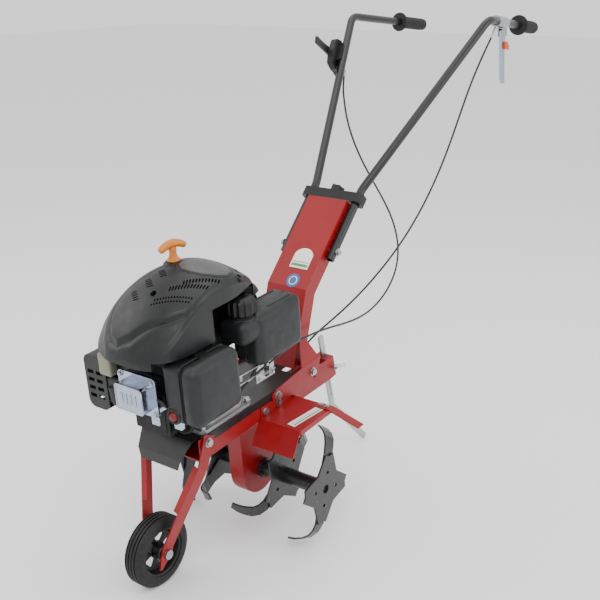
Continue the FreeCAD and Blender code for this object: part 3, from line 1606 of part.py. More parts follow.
def build_all():
    make_chassis_frame()
    make_engine_bed()
    make_column()
    make_drag_bracket()
    make_drag_bar()
    make_drag_pin()
    make_guard_extensions()
    make_frame_bolts()
    make_gearbox_bearings()
    make_worm_shaft()
    make_worm_wheel()
    make_tine_axle()
    make_pulley("drive_pulley", dim("drive_floor_radius"), dim("crank_radius") + 0.02, dim("crank_y"))
    make_pulley("driven_pulley", dim("driven_floor_radius"), dim("worm_shaft_radius") + 0.02, dim("worm_y"))
    make_drive_belt()
    make_idler_arm()
    make_idler_pulley()
    make_idler_spring()
    make_wheel_fork()
    make_wheel_bolt()
    make_wheel()
    for side in (1, -1):
        make_mudguard(side)
        make_gearbox_shell(side)
        make_tine_hub(side)
        make_tine_blades(side)
        make_handle_tube(side)
        make_grip(side)
    make_handle_clamp()
    make_clamp_knob()
    make_clutch_bracket()
    make_clutch_lever()
    make_clutch_catch()
    make_throttle_housing()
    make_throttle_lever()
    make_cable("clutch_cable", CLUTCH_ROUTE)
    make_cable("throttle_cable", THROTTLE_ROUTE)
    make_crankcase()
    make_cylinder_head()
    make_muffler()
    make_side_cover()
    make_blower_housing()
    make_fuel_tank()
    make_fuel_cap()
    make_air_filter_box()
    make_air_filter_element()
    make_primer_bulb()
    make_oil_cap()
    make_carburettor()
    make_spark_plug_cap()
    make_crankshaft()
    make_flywheel()
    make_starter_reel()
    make_starter_handle()


def check_all():
    """Stop on any failed feature, or on a sub-part that is empty or not valid."""
    doc.recompute()
    for feature in doc.Objects:
        if "Invalid" in feature.State or "Error" in feature.State:
            raise ValueError(f"{feature.Label} did not recompute: {feature.State}")
    for feature in subparts:
        if feature.Shape.isNull() or not feature.Shape.isValid():
            raise ValueError(f"{feature.Label} has no valid shape")
        if not feature.Shape.Solids:
            raise ValueError(f"{feature.Label} has no solid")


def write_all():
    os.makedirs("parts", exist_ok=True)
    for feature in subparts:
        feature.Shape.exportStep(f"parts/{feature.Label}.step")


build_all()
check_all()
write_all()
print(len(subparts), "sub-parts written")
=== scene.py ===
import math
import bpy
import bmesh
from mathutils import Matrix, Vector


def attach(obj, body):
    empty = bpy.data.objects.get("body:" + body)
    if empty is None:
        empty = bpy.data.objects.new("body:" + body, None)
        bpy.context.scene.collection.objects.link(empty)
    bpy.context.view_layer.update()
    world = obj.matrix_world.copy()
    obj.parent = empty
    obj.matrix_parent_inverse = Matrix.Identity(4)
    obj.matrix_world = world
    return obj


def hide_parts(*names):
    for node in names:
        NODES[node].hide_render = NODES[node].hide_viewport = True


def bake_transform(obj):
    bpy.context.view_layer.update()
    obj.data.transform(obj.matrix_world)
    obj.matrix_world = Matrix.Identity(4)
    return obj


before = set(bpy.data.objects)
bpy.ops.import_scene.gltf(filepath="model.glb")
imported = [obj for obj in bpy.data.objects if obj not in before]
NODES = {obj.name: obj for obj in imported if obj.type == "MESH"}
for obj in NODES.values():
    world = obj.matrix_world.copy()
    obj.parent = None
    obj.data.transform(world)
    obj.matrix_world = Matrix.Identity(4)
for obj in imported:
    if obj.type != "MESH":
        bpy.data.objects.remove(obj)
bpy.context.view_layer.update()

# The machine stands nose down by this pitch; details are placed in its own level frame, in mm.
PITCH = math.radians(4.6)
AXLE_HEIGHT = 131.6
SHIFT_Y = -312.4


def place(x, y, z):
    """A point of the machine's own level frame, in mm, to the row frame in metres."""
    c, s = math.cos(PITCH), math.sin(PITCH)
    return Vector((x, y * c - z * s + SHIFT_Y, AXLE_HEIGHT + y * s + z * c)) / 1000


MACHINE = Matrix.Translation(place(0, 0, 0)) @ Matrix.Rotation(PITCH, 4, "X") @ Matrix.Scale(0.001, 4)


# ---------------------------------------------------------------- camera, floor and light


# The camera: its turn, tilt and roll, its place in metres, and its lens and sensor in mm.
CAMERA_TURN, CAMERA_TILT, CAMERA_ROLL = math.radians(36.4735), math.radians(18.914), math.radians(-0.608)
CAMERA_PLACE = Vector((1.27501, -1.54238 + SHIFT_Y / 1000, 1.21244))
LENS = 58.4826
SENSOR = 36


def make_camera():
    data = bpy.data.cameras.new("camera")
    camera = bpy.data.objects.new("camera", data)
    bpy.context.scene.collection.objects.link(camera)
    turn, tilt, roll = CAMERA_TURN, CAMERA_TILT, CAMERA_ROLL
    back = Vector((math.sin(turn) * math.cos(tilt), -math.cos(turn) * math.cos(tilt), math.sin(tilt)))
    right = Vector((math.cos(turn), math.sin(turn), 0))
    up = back.cross(right)
    rolled_right = right * math.cos(roll) + up * math.sin(roll)
    rolled_up = up * math.cos(roll) - right * math.sin(roll)
    axes = Matrix((rolled_right, rolled_up, back)).transposed().to_4x4()
    camera.matrix_world = Matrix.Translation(CAMERA_PLACE) @ axes
    data.sensor_width = SENSOR
    data.lens = LENS
    data.clip_start = 0.05
    bpy.context.scene.camera = camera


def make_stage():
    bpy.ops.mesh.primitive_plane_add(size=30, location=(0, 0, 0))
    floor = bpy.context.object
    floor.name = "floor"
    material = bpy.data.materials.new("floor")
    material.use_nodes = True
    shader = material.node_tree.nodes["Principled BSDF"]
    shader.inputs["Base Color"].default_value = (0.9, 0.9, 0.905, 1)
    shader.inputs["Roughness"].default_value = 0.55
    floor.data.materials.append(material)

    world = bpy.data.worlds.new("studio")
    world.use_nodes = True
    world.node_tree.nodes["Background"].inputs[0].default_value = (1.0, 1.0, 1.0, 1)
    world.node_tree.nodes["Background"].inputs[1].default_value = 1.25
    bpy.context.scene.world = world
    lamp("key", (1.6, -2.4, 2.8), (0, -0.1, 0.4), 2.2, 55)
    lamp("side", (2.6, 0.8, 1.6), (0, -0.1, 0.4), 1.6, 22)
    lamp("left", (-2.4, -1.6, 2.0), (0, -0.2, 0.4), 1.6, 22)
    lamp("top", (0.0, 0.2, 3.2), (0, 0, 0.2), 2.4, 30)


def lamp(name, at, towards, size, power):
    data = bpy.data.lights.new(name, "AREA")
    data.size = size
    data.energy = power
    light = bpy.data.objects.new(name, data)
    bpy.context.scene.collection.objects.link(light)
    light.location = at
    heading = Vector(towards) - Vector(at)
    light.rotation_euler = heading.to_track_quat("-Z", "Y").to_euler()


make_camera()
make_stage()


# ---------------------------------------------------------------- materials


class Finish:
    """Builds one procedural material, step by step, in its node tree."""

    def __init__(self, name, color, rough, metal=0.0):
        self.material = bpy.data.materials.new(name)
        self.material.use_nodes = True
        self.tree = self.material.node_tree
        self.shader = self.tree.nodes["Principled BSDF"]
        self.shader.inputs["Roughness"].default_value = rough
        self.shader.inputs["Metallic"].default_value = metal
        self.shader.inputs["Specular IOR Level"].default_value = 0.38
        self.color = color
        self.rough = rough
        self.place = self.tree.nodes.new("ShaderNodeTexCoord").outputs["Object"]
        self.bump = None

    def stretched(self, scale):
        mapping = self.tree.nodes.new("ShaderNodeMapping")
        mapping.inputs["Scale"].default_value = scale
        self.tree.links.new(self.place, mapping.inputs["Vector"])
        return mapping.outputs["Vector"]

    def noise(self, scale, detail=4.0, stretch=None, rough=0.55):
        node = self.tree.nodes.new("ShaderNodeTexNoise")
        node.inputs["Scale"].default_value = scale
        node.inputs["Detail"].default_value = detail
        node.inputs["Roughness"].default_value = rough
        source = self.stretched(stretch) if stretch else self.place
        self.tree.links.new(source, node.inputs["Vector"])
        return node.outputs["Fac"]

    def spread(self, source, low, high, start=0.3, end=0.7):
        node = self.tree.nodes.new("ShaderNodeMapRange")
        node.inputs["From Min"].default_value = start
        node.inputs["From Max"].default_value = end
        node.inputs["To Min"].default_value = low
        node.inputs["To Max"].default_value = high
        self.tree.links.new(source, node.inputs["Value"])
        return node.outputs["Result"]

    def mix(self, factor, first, second):
        node = self.tree.nodes.new("ShaderNodeMix")
        node.data_type = "RGBA"
        for socket, value in ((node.inputs[6], first), (node.inputs[7], second)):
            if isinstance(value, tuple):
                socket.default_value = (*value, 1)
            else:
                self.tree.links.new(value, socket)
        self.tree.links.new(factor, node.inputs[0])
        return node.outputs[2]

    def clouds(self, scale=9.0, amount=0.18):
        """Slow colour and gloss variation, as on any real coat."""
        dark = tuple(c * (1 - amount) for c in self.color)
        light = tuple(min(c * (1 + amount), 1) for c in self.color)
        color = self.mix(self.spread(self.noise(scale), 0, 1), dark, light)
        self.tree.links.new(color, self.shader.inputs["Base Color"])
        self.base = color
        gloss = self.spread(self.noise(scale * 5), self.rough * 0.86, min(self.rough * 1.16, 1))
        self.tree.links.new(gloss, self.shader.inputs["Roughness"])
        return self

    def dust(self, color=(0.42, 0.39, 0.35), amount=0.12, scale=38.0):
        """Thin dust that settles on faces that look up."""
        normal = self.tree.nodes.new("ShaderNodeNewGeometry").outputs["Normal"]
        split = self.tree.nodes.new("ShaderNodeSeparateXYZ")
        self.tree.links.new(normal, split.inputs[0])
        facing = self.spread(split.outputs["Z"], 0, 1, 0.25, 0.95)
        patchy = self.spread(self.noise(scale, 8, rough=0.7), 0, amount, 0.42, 0.72)
        product = self.tree.nodes.new("ShaderNodeMath")
        product.operation = "MULTIPLY"
        self.tree.links.new(facing, product.inputs[0])
        self.tree.links.new(patchy, product.inputs[1])
        self.base = self.mix(product.outputs[0], self.base, color)
        self.tree.links.new(self.base, self.shader.inputs["Base Color"])
        return self

    def specks(self, color, amount=0.5, scale=420.0, start=0.64, end=0.7):
        """Small chips or flecks of another colour."""
        factor = self.spread(self.noise(scale, 2), 0, amount, start, end)
        self.base = self.mix(factor, self.base, color)
        self.tree.links.new(self.base, self.shader.inputs["Base Color"])
        return self

    def relief(self, scale, strength, height=0.0004, stretch=None, detail=3.0):
        """Fine relief, such as orange peel, moulded grain or brushing."""
        node = self.tree.nodes.new("ShaderNodeBump")
        node.inputs["Strength"].default_value = strength
        node.inputs["Distance"].default_value = height
        self.tree.links.new(self.noise(scale, detail, stretch), node.inputs["Height"])
        if self.bump:
            self.tree.links.new(self.bump, node.inputs["Normal"])
        self.bump = node.outputs["Normal"]
        self.tree.links.new(self.bump, self.shader.inputs["Normal"])
        return self

    def coat(self, weight, rough):
        self.shader.inputs["Coat Weight"].default_value = weight
        self.shader.inputs["Coat Roughness"].default_value = rough
        return self

    def done(self):
        return self.material


def coated(name, color, rough, coat=0.4):
    finish = Finish(name, color, rough).clouds(8, 0.1).dust(amount=0.012)
    return finish.relief(260, 0.22, 0.0005).relief(1400, 0.06).coat(coat, 0.22).done()


def moulded(name, color, rough, grain=0.35):
    finish = Finish(name, color, rough).clouds(11, 0.2).dust(amount=0.02)
    return finish.relief(1700, grain, 0.00025).relief(70, 0.1, 0.0008).done()


def metal(name, color, rough, stretch=(1, 1, 1), strength=0.25):
    finish = Finish(name, color, rough, 1.0).clouds(30, 0.14)
    finish.specks(tuple(c * 0.55 for c in color), 0.35, 260, 0.6, 0.75)
    return finish.relief(500, strength, 0.0002, stretch).done()


RED = coated("red_powder_coat", (0.24, 0.0015, 0.004), 0.42, 0.12)
BLACK_COAT = coated("black_powder_coat", (0.004, 0.004, 0.005), 0.4, 0.2)
BAR = coated("bar_coat", (0.004, 0.004, 0.0045), 0.34, 0.3)
TINE = (
    Finish("tine_coat", (0.009, 0.0095, 0.011), 0.36)
    .clouds(22, 0.3)
    .specks((0.3, 0.3, 0.31), 0.35, 160, 0.66, 0.74)
    .relief(190, 0.35, 0.0006)
    .coat(0.35, 0.25)
    .done()
)
ZINC = metal("zinc_plate", (0.42, 0.43, 0.44), 0.3)
GROUND = metal("ground_steel", (0.6, 0.6, 0.62), 0.24, (1, 1, 0.05))
SHINY = metal("pressed_bright_steel", (0.42, 0.46, 0.56), 0.2, (1, 1, 0.2), 0.12)
CAST = (
    Finish("cast_aluminium", (0.33, 0.335, 0.34), 0.5, 0.9)
    .clouds(26, 0.18)
    .specks((0.25, 0.25, 0.25), 0.4, 420)
    .relief(750, 0.7, 0.0005)
    .done()
)
SOOTY = (
    Finish("dark_cast_head", (0.012, 0.012, 0.012), 0.6, 0.4)
    .clouds(26, 0.3)
    .relief(750, 0.7, 0.0005)
    .done()
)
IRON = metal("machined_iron", (0.28, 0.27, 0.27), 0.42, (1, 1, 0.1))
BRONZE = metal("turned_bronze", (0.62, 0.42, 0.2), 0.3)
COWL = moulded("cowl_plastic", (0.0055, 0.006, 0.0068), 0.4, 0.3)
TANK = moulded("tank_plastic", (0.0085, 0.0098, 0.0105), 0.48, 0.5)
PLASTIC = moulded("black_plastic", (0.0045, 0.0045, 0.005), 0.42)
RUBBER = (
    Finish("grip_rubber", (0.008, 0.008, 0.0085), 0.66)
    .clouds(30, 0.25)
    .dust(amount=0.03)
    .relief(900, 0.5, 0.0005)
    .done()
)
TYRE = (
    Finish("tyre_rubber", (0.006, 0.006, 0.0065), 0.6)
    .clouds(24, 0.25)
    .dust((0.3, 0.27, 0.23), 0.03)
    .relief(420, 0.45, 0.0006)
    .done()
)
SHEATH = Finish("cable_sheath", (0.012, 0.012, 0.013), 0.4).clouds(40, 0.2).relief(1600, 0.3).done()
BELT = Finish("belt_cloth", (0.03, 0.03, 0.03), 0.8).clouds(30, 0.3).relief(900, 0.8, 0.0006).done()
ORANGE = moulded("orange_plastic", (0.6, 0.07, 0.006), 0.3, 0.12)
PULL = (
    Finish("pull_plastic", (0.52, 0.15, 0.0008), 0.34)
    .clouds(30, 0.08)
    .relief(900, 0.15, 0.0003)
    .coat(0.4, 0.15)
    .done()
)
BULB_RED = Finish("bulb_rubber", (0.16, 0.006, 0.005), 0.4).clouds(60, 0.25).relief(900, 0.2).done()
BLACK_RUBBER = Finish("black_rubber", (0.018, 0.018, 0.018), 0.6).clouds(40, 0.2).relief(900, 0.3).done()
PAPER = Finish("filter_paper", (0.7, 0.62, 0.42), 0.9).clouds(40, 0.2).relief(1500, 0.6).done()
KHAKI = Finish("painted_guard", (0.22, 0.21, 0.15), 0.5).clouds(40, 0.2).relief(700, 0.3).done()
INSERT = (
    Finish("silver_panel", (0.085, 0.083, 0.085), 0.42, 0.3)
    .clouds(40, 0.1)
    .relief(1800, 0.25, 0.0002)
    .done()
)
LABEL = Finish("label_white", (0.82, 0.82, 0.79), 0.3).clouds(20, 0.05).relief(120, 0.1).done()
LABEL_GREEN = Finish("label_green", (0.10, 0.26, 0.08), 0.32).clouds(20, 0.1).relief(120, 0.1).done()
LABEL_BLUE = Finish("label_blue", (0.05, 0.13, 0.36), 0.32).clouds(20, 0.1).relief(120, 0.1).done()
LABEL_GREY = Finish("label_grey", (0.2, 0.2, 0.2), 0.32).clouds(20, 0.1).relief(120, 0.1).done()

ROPE = (
    Finish("starter_rope", (0.5, 0.5, 0.48), 0.8)
    .clouds(60, 0.2)
    .relief(700, 0.9, 0.0008, (1, 1, 0.4))
    .done()
)

NODE_FINISH = {
    RED: (
        "chassis_frame",
        "column",
        "drag_bracket",
        "gearbox_left_shell",
        "gearbox_right_shell",
        "mudguard_left",
        "mudguard_right",
        "guard_extensions",
        "wheel_fork",
    ),
    BLACK_COAT: ("engine_bed",),
    BAR: ("handle_tube_left", "handle_tube_right"),
    TINE: ("tine_hub_left", "tine_hub_right", "tine_blades_left", "tine_blades_right"),
    ZINC: (
        "frame_bolts",
        "wheel_bolt",
        "idler_arm",
        "idler_pulley",
        "drag_pin",
        "drag_bar",
        "clutch_bracket",
        "idler_spring",
    ),
    SHINY: ("muffler", "clutch_lever"),
    GROUND: ("crankshaft", "worm_shaft", "tine_axle"),
    CAST: ("crankcase", "carburettor"),
    SOOTY: ("cylinder_head",),
    IRON: ("flywheel", "drive_pulley", "driven_pulley"),
    BRONZE: ("worm_wheel", "gearbox_bearings"),
    COWL: ("blower_housing", "side_cover"),
    TANK: ("fuel_tank", "air_filter_box"),
    PLASTIC: (
        "fuel_cap",
        "oil_cap",
        "handle_clamp",
        "clamp_knob",
        "throttle_housing",
        "throttle_lever",
        "starter_reel",
        "wheel_rim",
    ),
    RUBBER: ("grip_left", "grip_right"),
    TYRE: ("wheel_tyre",),
    SHEATH: ("clutch_cable", "throttle_cable"),
    BELT: ("drive_belt",),
    ORANGE: ("clutch_catch",),
    PULL: ("starter_handle",),
    BULB_RED: ("primer_bulb",),
    BLACK_RUBBER: ("spark_plug_cap",),
    PAPER: ("air_filter_element",),
}

# Edge rounding of the carried-over nodes, in mm.
ROUNDED_NODES = {
    1.2: ("column", "throttle_lever", "muffler"),
    0.8: (
        "chassis_frame",
        "engine_bed",
        "drag_bracket",
        "clamp_knob",
        "clutch_bracket",
        "drag_bar",
        "carburettor",
    ),
    0.9: ("wheel_fork", "tine_hub_left", "tine_hub_right", "tine_blades_left", "tine_blades_right"),
    0.7: ("mudguard_left", "mudguard_right"),
    0.6: ("guard_extensions",),
    1.5: ("handle_clamp", "clutch_lever"),
    1.8: ("throttle_housing",),
    1.0: ("clutch_catch", "fuel_cap", "side_cover", "crankcase", "oil_cap"),
    0.4: ("frame_bolts",),
    2.0: ("spark_plug_cap",),
}


def finish_nodes():
    for material, names in NODE_FINISH.items():
        for name in names:
            node = NODES[name]
            if not node.material_slots:
                node.data.materials.append(material)
            for material_slot in node.material_slots:
                material_slot.material = material
    for width, names in ROUNDED_NODES.items():
        for name in names:
            bevel = NODES[name].modifiers.new("edge", "BEVEL")
            bevel.width = width / 1000
            bevel.segments = 2
            bevel.limit_method = "ANGLE"
            bevel.angle_limit = math.radians(35)
            bevel.harden_normals = False


finish_nodes()


# ---------------------------------------------------------------- mesh helpers


def piece(name, verts, faces, material, body, smooth=True, level=True):
    """A mesh piece given in the level frame's mm, or in the row frame's metres."""
    mesh = bpy.data.meshes.new(name)
    mesh.from_pydata([tuple(v) for v in verts], [], faces)
    if level:
        mesh.transform(MACHINE)
    made = bmesh.new()
    made.from_mesh(mesh)
    bmesh.ops.recalc_face_normals(made, faces=made.faces)
    made.to_mesh(mesh)
    made.free()
    for polygon in mesh.polygons:
        polygon.use_smooth = smooth
    mesh.materials.append(material)
    made_object = bpy.data.objects.new(name, mesh)
    bpy.context.scene.collection.objects.link(made_object)
    if body:
        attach(made_object, body)
    return made_object


def frame_at(origin, along, side=(0, 0, 1)):
    """A matrix whose z runs along a direction, for placing local shapes."""
    z = Vector(along).normalized()
    x = Vector(side) - z * Vector(side).dot(z)
    if x.length < 1e-6:
        x = Vector((1, 0, 0)) - z * z.x
    x.normalize()
    y = z.cross(x)
    return Matrix.Translation(Vector(origin)) @ Matrix((x, y, z)).transposed().to_4x4()


def bridge(faces, upper, lower, count):
    """Quads between two closed rings of vertices, given by their first indices."""
    for k in range(count):
        b = (k + 1) % count
        faces.append((upper + k, upper + b, lower + b, lower + k))


def tube_mesh(points, radii, sides=16, flat=1.0, side=(0, 0, 1)):
    """Rings of vertices along points; flat squeezes the second axis of each ring."""
    verts, faces = [], []
    normal = None
    for index, point in enumerate(points):
        before = Vector(points[max(index - 1, 0)])
        after = Vector(points[min(index + 1, len(points) - 1)])
        along = (after - before).normalized()
        if normal is None:
            normal = Vector(side) - along * Vector(side).dot(along)
            if normal.length < 1e-6:
                normal = along.orthogonal()
        normal = (normal - along * normal.dot(along)).normalized()
        other = along.cross(normal)
        for k in range(sides):
            turn = 2 * math.pi * k / sides
            offset = normal * math.cos(turn) + other * (flat * math.sin(turn))
            verts.append(Vector(point) + offset * radii[index])
    for index in range(len(points) - 1):
        bridge(faces, index * sides, (index + 1) * sides, sides)
    faces.append(tuple(range(sides))[::-1])
    last = (len(points) - 1) * sides
    faces.append(tuple(range(last, last + sides)))
    return verts, faces


def lathe_mesh(matrix, profile, sides=48):
    """A turned form: profile gives radius and height; matrix places it."""
    verts, faces = [], []
    for radius, height in profile:
        for k in range(sides):
            turn = 2 * math.pi * k / sides
            verts.append(matrix @ Vector((radius * math.cos(turn), radius * math.sin(turn), height)))
    for index in range(len(profile) - 1):
        bridge(faces, index * sides, (index + 1) * sides, sides)
    faces.append(tuple(range(sides))[::-1])
    last = (len(profile) - 1) * sides
    faces.append(tuple(range(last, last + sides)))
    return verts, faces


def rounded_block(low, high, radius, segments=6, crown=0.0):
    """A block with large rounded edges and slightly crowned faces, as a blow-moulded tank has."""
    made = bmesh.new()
    bmesh.ops.create_cube(made, size=1.0)
    low, high = Vector(low), Vector(high)
    middle, size = (low + high) / 2, high - low
    for vert in made.verts:
        vert.co = Vector((vert.co.x * size.x, vert.co.y * size.y, vert.co.z * size.z))
    bmesh.ops.bevel(
        made, geom=list(made.edges), offset=radius, segments=segments, profile=0.5, affect="EDGES"
    )
    long_edges = [e for e in made.edges if e.calc_length() > 14]
    bmesh.ops.subdivide_edges(made, edges=long_edges, cuts=5, use_grid_fill=True)
    half = size / 2
    for vert in made.verts:
        share = [vert.co[i] / half[i] for i in range(3)]
        for i in range(3):
            if abs(share[i]) > 0.97:
                j, k = (i + 1) % 3, (i + 2) % 3
                bulge = (1 - min(share[j] ** 2, 1)) * (1 - min(share[k] ** 2, 1))
                vert.co[i] += math.copysign(crown * bulge, share[i])
    bmesh.ops.triangulate(made, faces=[f for f in made.faces if len(f.verts) > 4])
    verts = [v.co + middle for v in made.verts]
    index = {v: i for i, v in enumerate(made.verts)}
    faces = [tuple(index[v] for v in f.verts) for f in made.faces]
    made.free()
    return verts, faces


def joined(parts):
    """Several vertex and face lists as one."""
    verts, faces = [], []
    for part_verts, part_faces in parts:
        start = len(verts)
        verts += list(part_verts)
        faces += [tuple(i + start for i in f) for f in part_faces]
    return verts, faces


def hexagon(origin, along, radius, height):
    """A hexagon head standing on origin along a direction, with a chamfered top."""
    profile = [(radius, 0), (radius, height * 0.8), (radius * 0.86, height), (0.01, height)]
    return lathe_mesh(frame_at(origin, along), profile, 6)


def washer(origin, along, radius, height):
    profile = [(radius, 0), (radius, height * 0.7), (radius * 0.94, height), (0.01, height)]
    return lathe_mesh(frame_at(origin, along), profile, 32)


# ---------------------------------------------------------------- control cables

CLUTCH_ROUTE = [
    (190, 808, 858),
    (183, 780, 822),
    (174, 748, 775),
    (165, 718, 722),
    (156, 690, 664),
    (146, 662, 604),
    (135, 630, 545),
    (123, 592, 488),
    (109, 546, 432),
    (94, 494, 382),
    (78, 434, 338),
    (62, 368, 300),
    (48, 298, 272),
    (38, 232, 254),
    (36, 186, 243),
    (41, 150, 232),
    (45, 122, 219),
    (49, 100, 206),
    (54, 78, 196),
    (56, 50, 192),
    (56.5, 14, 191),
]

THROTTLE_ROUTE = [
    (-150, 653, 773),
    (-143, 632, 742),
    (-130, 616, 704),
    (-114, 602, 662),
    (-97, 598, 616),
    (-80, 606, 566),
    (-64, 624, 514),
    (-48, 646, 462),
    (-32, 664, 410),
    (-16, 668, 360),
    (0, 654, 314),
    (16, 616, 276),
    (30, 560, 250),
    (42, 496, 236),
    (52, 430, 232),
    (60, 362, 238),
    (66, 294, 252),
    (72, 226, 270),
    (77, 164, 284),
    (82, 106, 293),
    (87, 50, 297),
    (91, -4, 296),
    (93, -54, 291),
    (92, -100, 285),
]


def smooth_line(route, resolution=8):
    """Points of the NURBS spline that has the route as its control points, in the row frame."""
    curve = bpy.data.curves.new("route", "CURVE")
    curve.dimensions = "3D"
    spline = curve.splines.new("NURBS")
    spline.points.add(len(route) - 1)
    for point, spot in zip(spline.points, route):
        point.co = (*place(*spot), 1)
    spline.order_u = 3
    spline.use_endpoint_u = True
    spline.resolution_u = resolution
    holder = bpy.data.objects.new("route", curve)
    bpy.context.scene.collection.objects.link(holder)
    bpy.context.view_layer.update()
    mesh = bpy.data.meshes.new_from_object(holder)
    points = [v.co.copy() for v in mesh.vertices]
    bpy.data.objects.remove(holder)
    return points


def make_cable(name, node, route):
    """A cable's sheath that follows its route, in place of the model's own cable."""
    points = smooth_line(route)
    verts, faces = tube_mesh(points, [0.0025] * len(points), 12)
    cable = piece(name, verts, faces, SHEATH, None, level=False)
    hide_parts(node)
    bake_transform(cable)
    return points


clutch_line = make_cable("clutch_cable_sheath", "clutch_cable", CLUTCH_ROUTE)
throttle_line = make_cable(
    "throttle_cable_sheath", "throttle_cable", THROTTLE_ROUTE
)


def cable_ferrule(name, points, body, length=0.018):
    """The pressed metal end of a cable's sheath."""
    start = points[0]
    heading = (points[3] - points[0]).normalized()
    stations = [(0.0, 0.0031), (0.2, 0.0036), (0.8, 0.0036), (1.0, 0.003)]
    spots = [start - heading * 0.004 + heading * length * share for share, _ in stations]
    verts, faces = tube_mesh(spots, [r for _, r in stations], 16)
    piece(name, verts, faces, ZINC, body, level=False)


cable_ferrule("clutch_ferrule", clutch_line, "handlebar")
cable_ferrule("throttle_ferrule", throttle_line, "handlebar")
cable_ferrule("throttle_ferrule_engine", throttle_line[::-1], "chassis")
cable_ferrule("clutch_ferrule_frame", clutch_line[::-1], "chassis")


# ---------------------------------------------------------------- blower housing

# The starter rope's place in plan, and the level at which its handle sits.
STARTER = (-14, -170)
HANDLE_LEVEL = 541

DOME = (8.0, -165.0)
DOME_RADIUS = 195.0
DOME_HEIGHT = 190.0
DOME_BASE = 360.0
SKIRT_LOW = 346.0
SKIRT_FLARE = 0.8
RIM_WALL = 3.2
ROOF_WALL = 5.0
EDGE_ROLL = 5.0
PANEL = [
    (0, -166),
    (-48, -214),
    (-74, -243),
    (-88, -262),
    (-80, -290),
    (-66, -311),
    (-50, -326),
    (-26, -335),
    (6, -327),
    (36, -306),
    (66, -284),
    (92, -258),
    (106, -213),
    (112, -150),
    (96, -78),
    (60, -24),
    (12, -2),
    (-40, -30),
    (-52, -90),
    (-26, -140),
]


def dome_level(x, y):
    share = min(math.hypot(x - DOME[0], y - DOME[1]) / DOME_RADIUS, 1.0)
    return DOME_BASE + DOME_HEIGHT * max(1 - share**1.75, 0.0) ** (1 / 1.75)


def dome_normal(x, y):
    step = 0.5
    dx = (dome_level(x + step, y) - dome_level(x - step, y)) / (2 * step)
    dy = (dome_level(x, y + step) - dome_level(x, y - step)) / (2 * step)
    return Vector((-dx, -dy, 1)).normalized()


def outline_distance(x, y, outline):
    """Distance to a closed outline: positive inside."""
    best = 1e9
    inside = False
    for (ax, ay), (bx, by) in zip(outline, outline[1:] + outline[:1]):
        dx, dy = bx - ax, by - ay
        share = max(0.0, min(1.0, ((x - ax) * dx + (y - ay) * dy) / (dx * dx + dy * dy)))
        best = min(best, math.hypot(x - ax - dx * share, y - ay - dy * share))
        if (ay > y) != (by > y) and x < ax + (y - ay) * dx / dy:
            inside = not inside
    return best if inside else -best


def ease(value, low, high):
    share = max(0.0, min(1.0, (value - low) / (high - low)))
    return share * share * (3 - 2 * share)


def plan_outline():
    """The housing's plan, with rounded corners."""
    corners = [
        (-172, -345, 60),
        (100, -345, 84),
        (104, -130, 30),
        (70, -10, 30),
        (34, 30, 20),
        (-172, 30, 90),
    ]
    points = []
    for index, (x, y, radius) in enumerate(corners):
        here = Vector((x, y))
        back = (Vector(corners[index - 1][:2]) - here).normalized()
        ahead = (Vector(corners[(index + 1) % len(corners)][:2]) - here).normalized()
        for k in range(9):
            share = k / 8
            spot = here + back * radius * (1 - share) ** 2 + ahead * radius * share**2
            points.append((spot.x, spot.y))
    return points


def edge_reach(turn, plan):
    """How far the housing runs from the dome's centre in one direction."""
    low, high = 0.0, DOME_RADIUS * 0.998
    across, along = math.cos(turn), math.sin(turn)
    if outline_distance(DOME[0] + high * across, DOME[1] + high * along, plan) > 0:
        return high
    for _ in range(22):
        middle = (low + high) / 2
        if outline_distance(DOME[0] + middle * across, DOME[1] + middle * along, plan) > 0:
            low = middle
        else:
            high = middle
    return low


def panel_lift(x, y, edge):
    """Height of the raised centre panel, the groove round it and its crease."""
    inner = outline_distance(x, y, PANEL)
    lift = 3.4 * ease(inner, -1.0, 7.0) - 1.2
    lift -= 2.6 * math.exp(-(((inner + 2.0) / 1.9) ** 2))
    lift += 1.6 * math.exp(-(((inner + 11.0) / 5.5) ** 2))
    return lift * ease(edge, 0.0, 14.0)


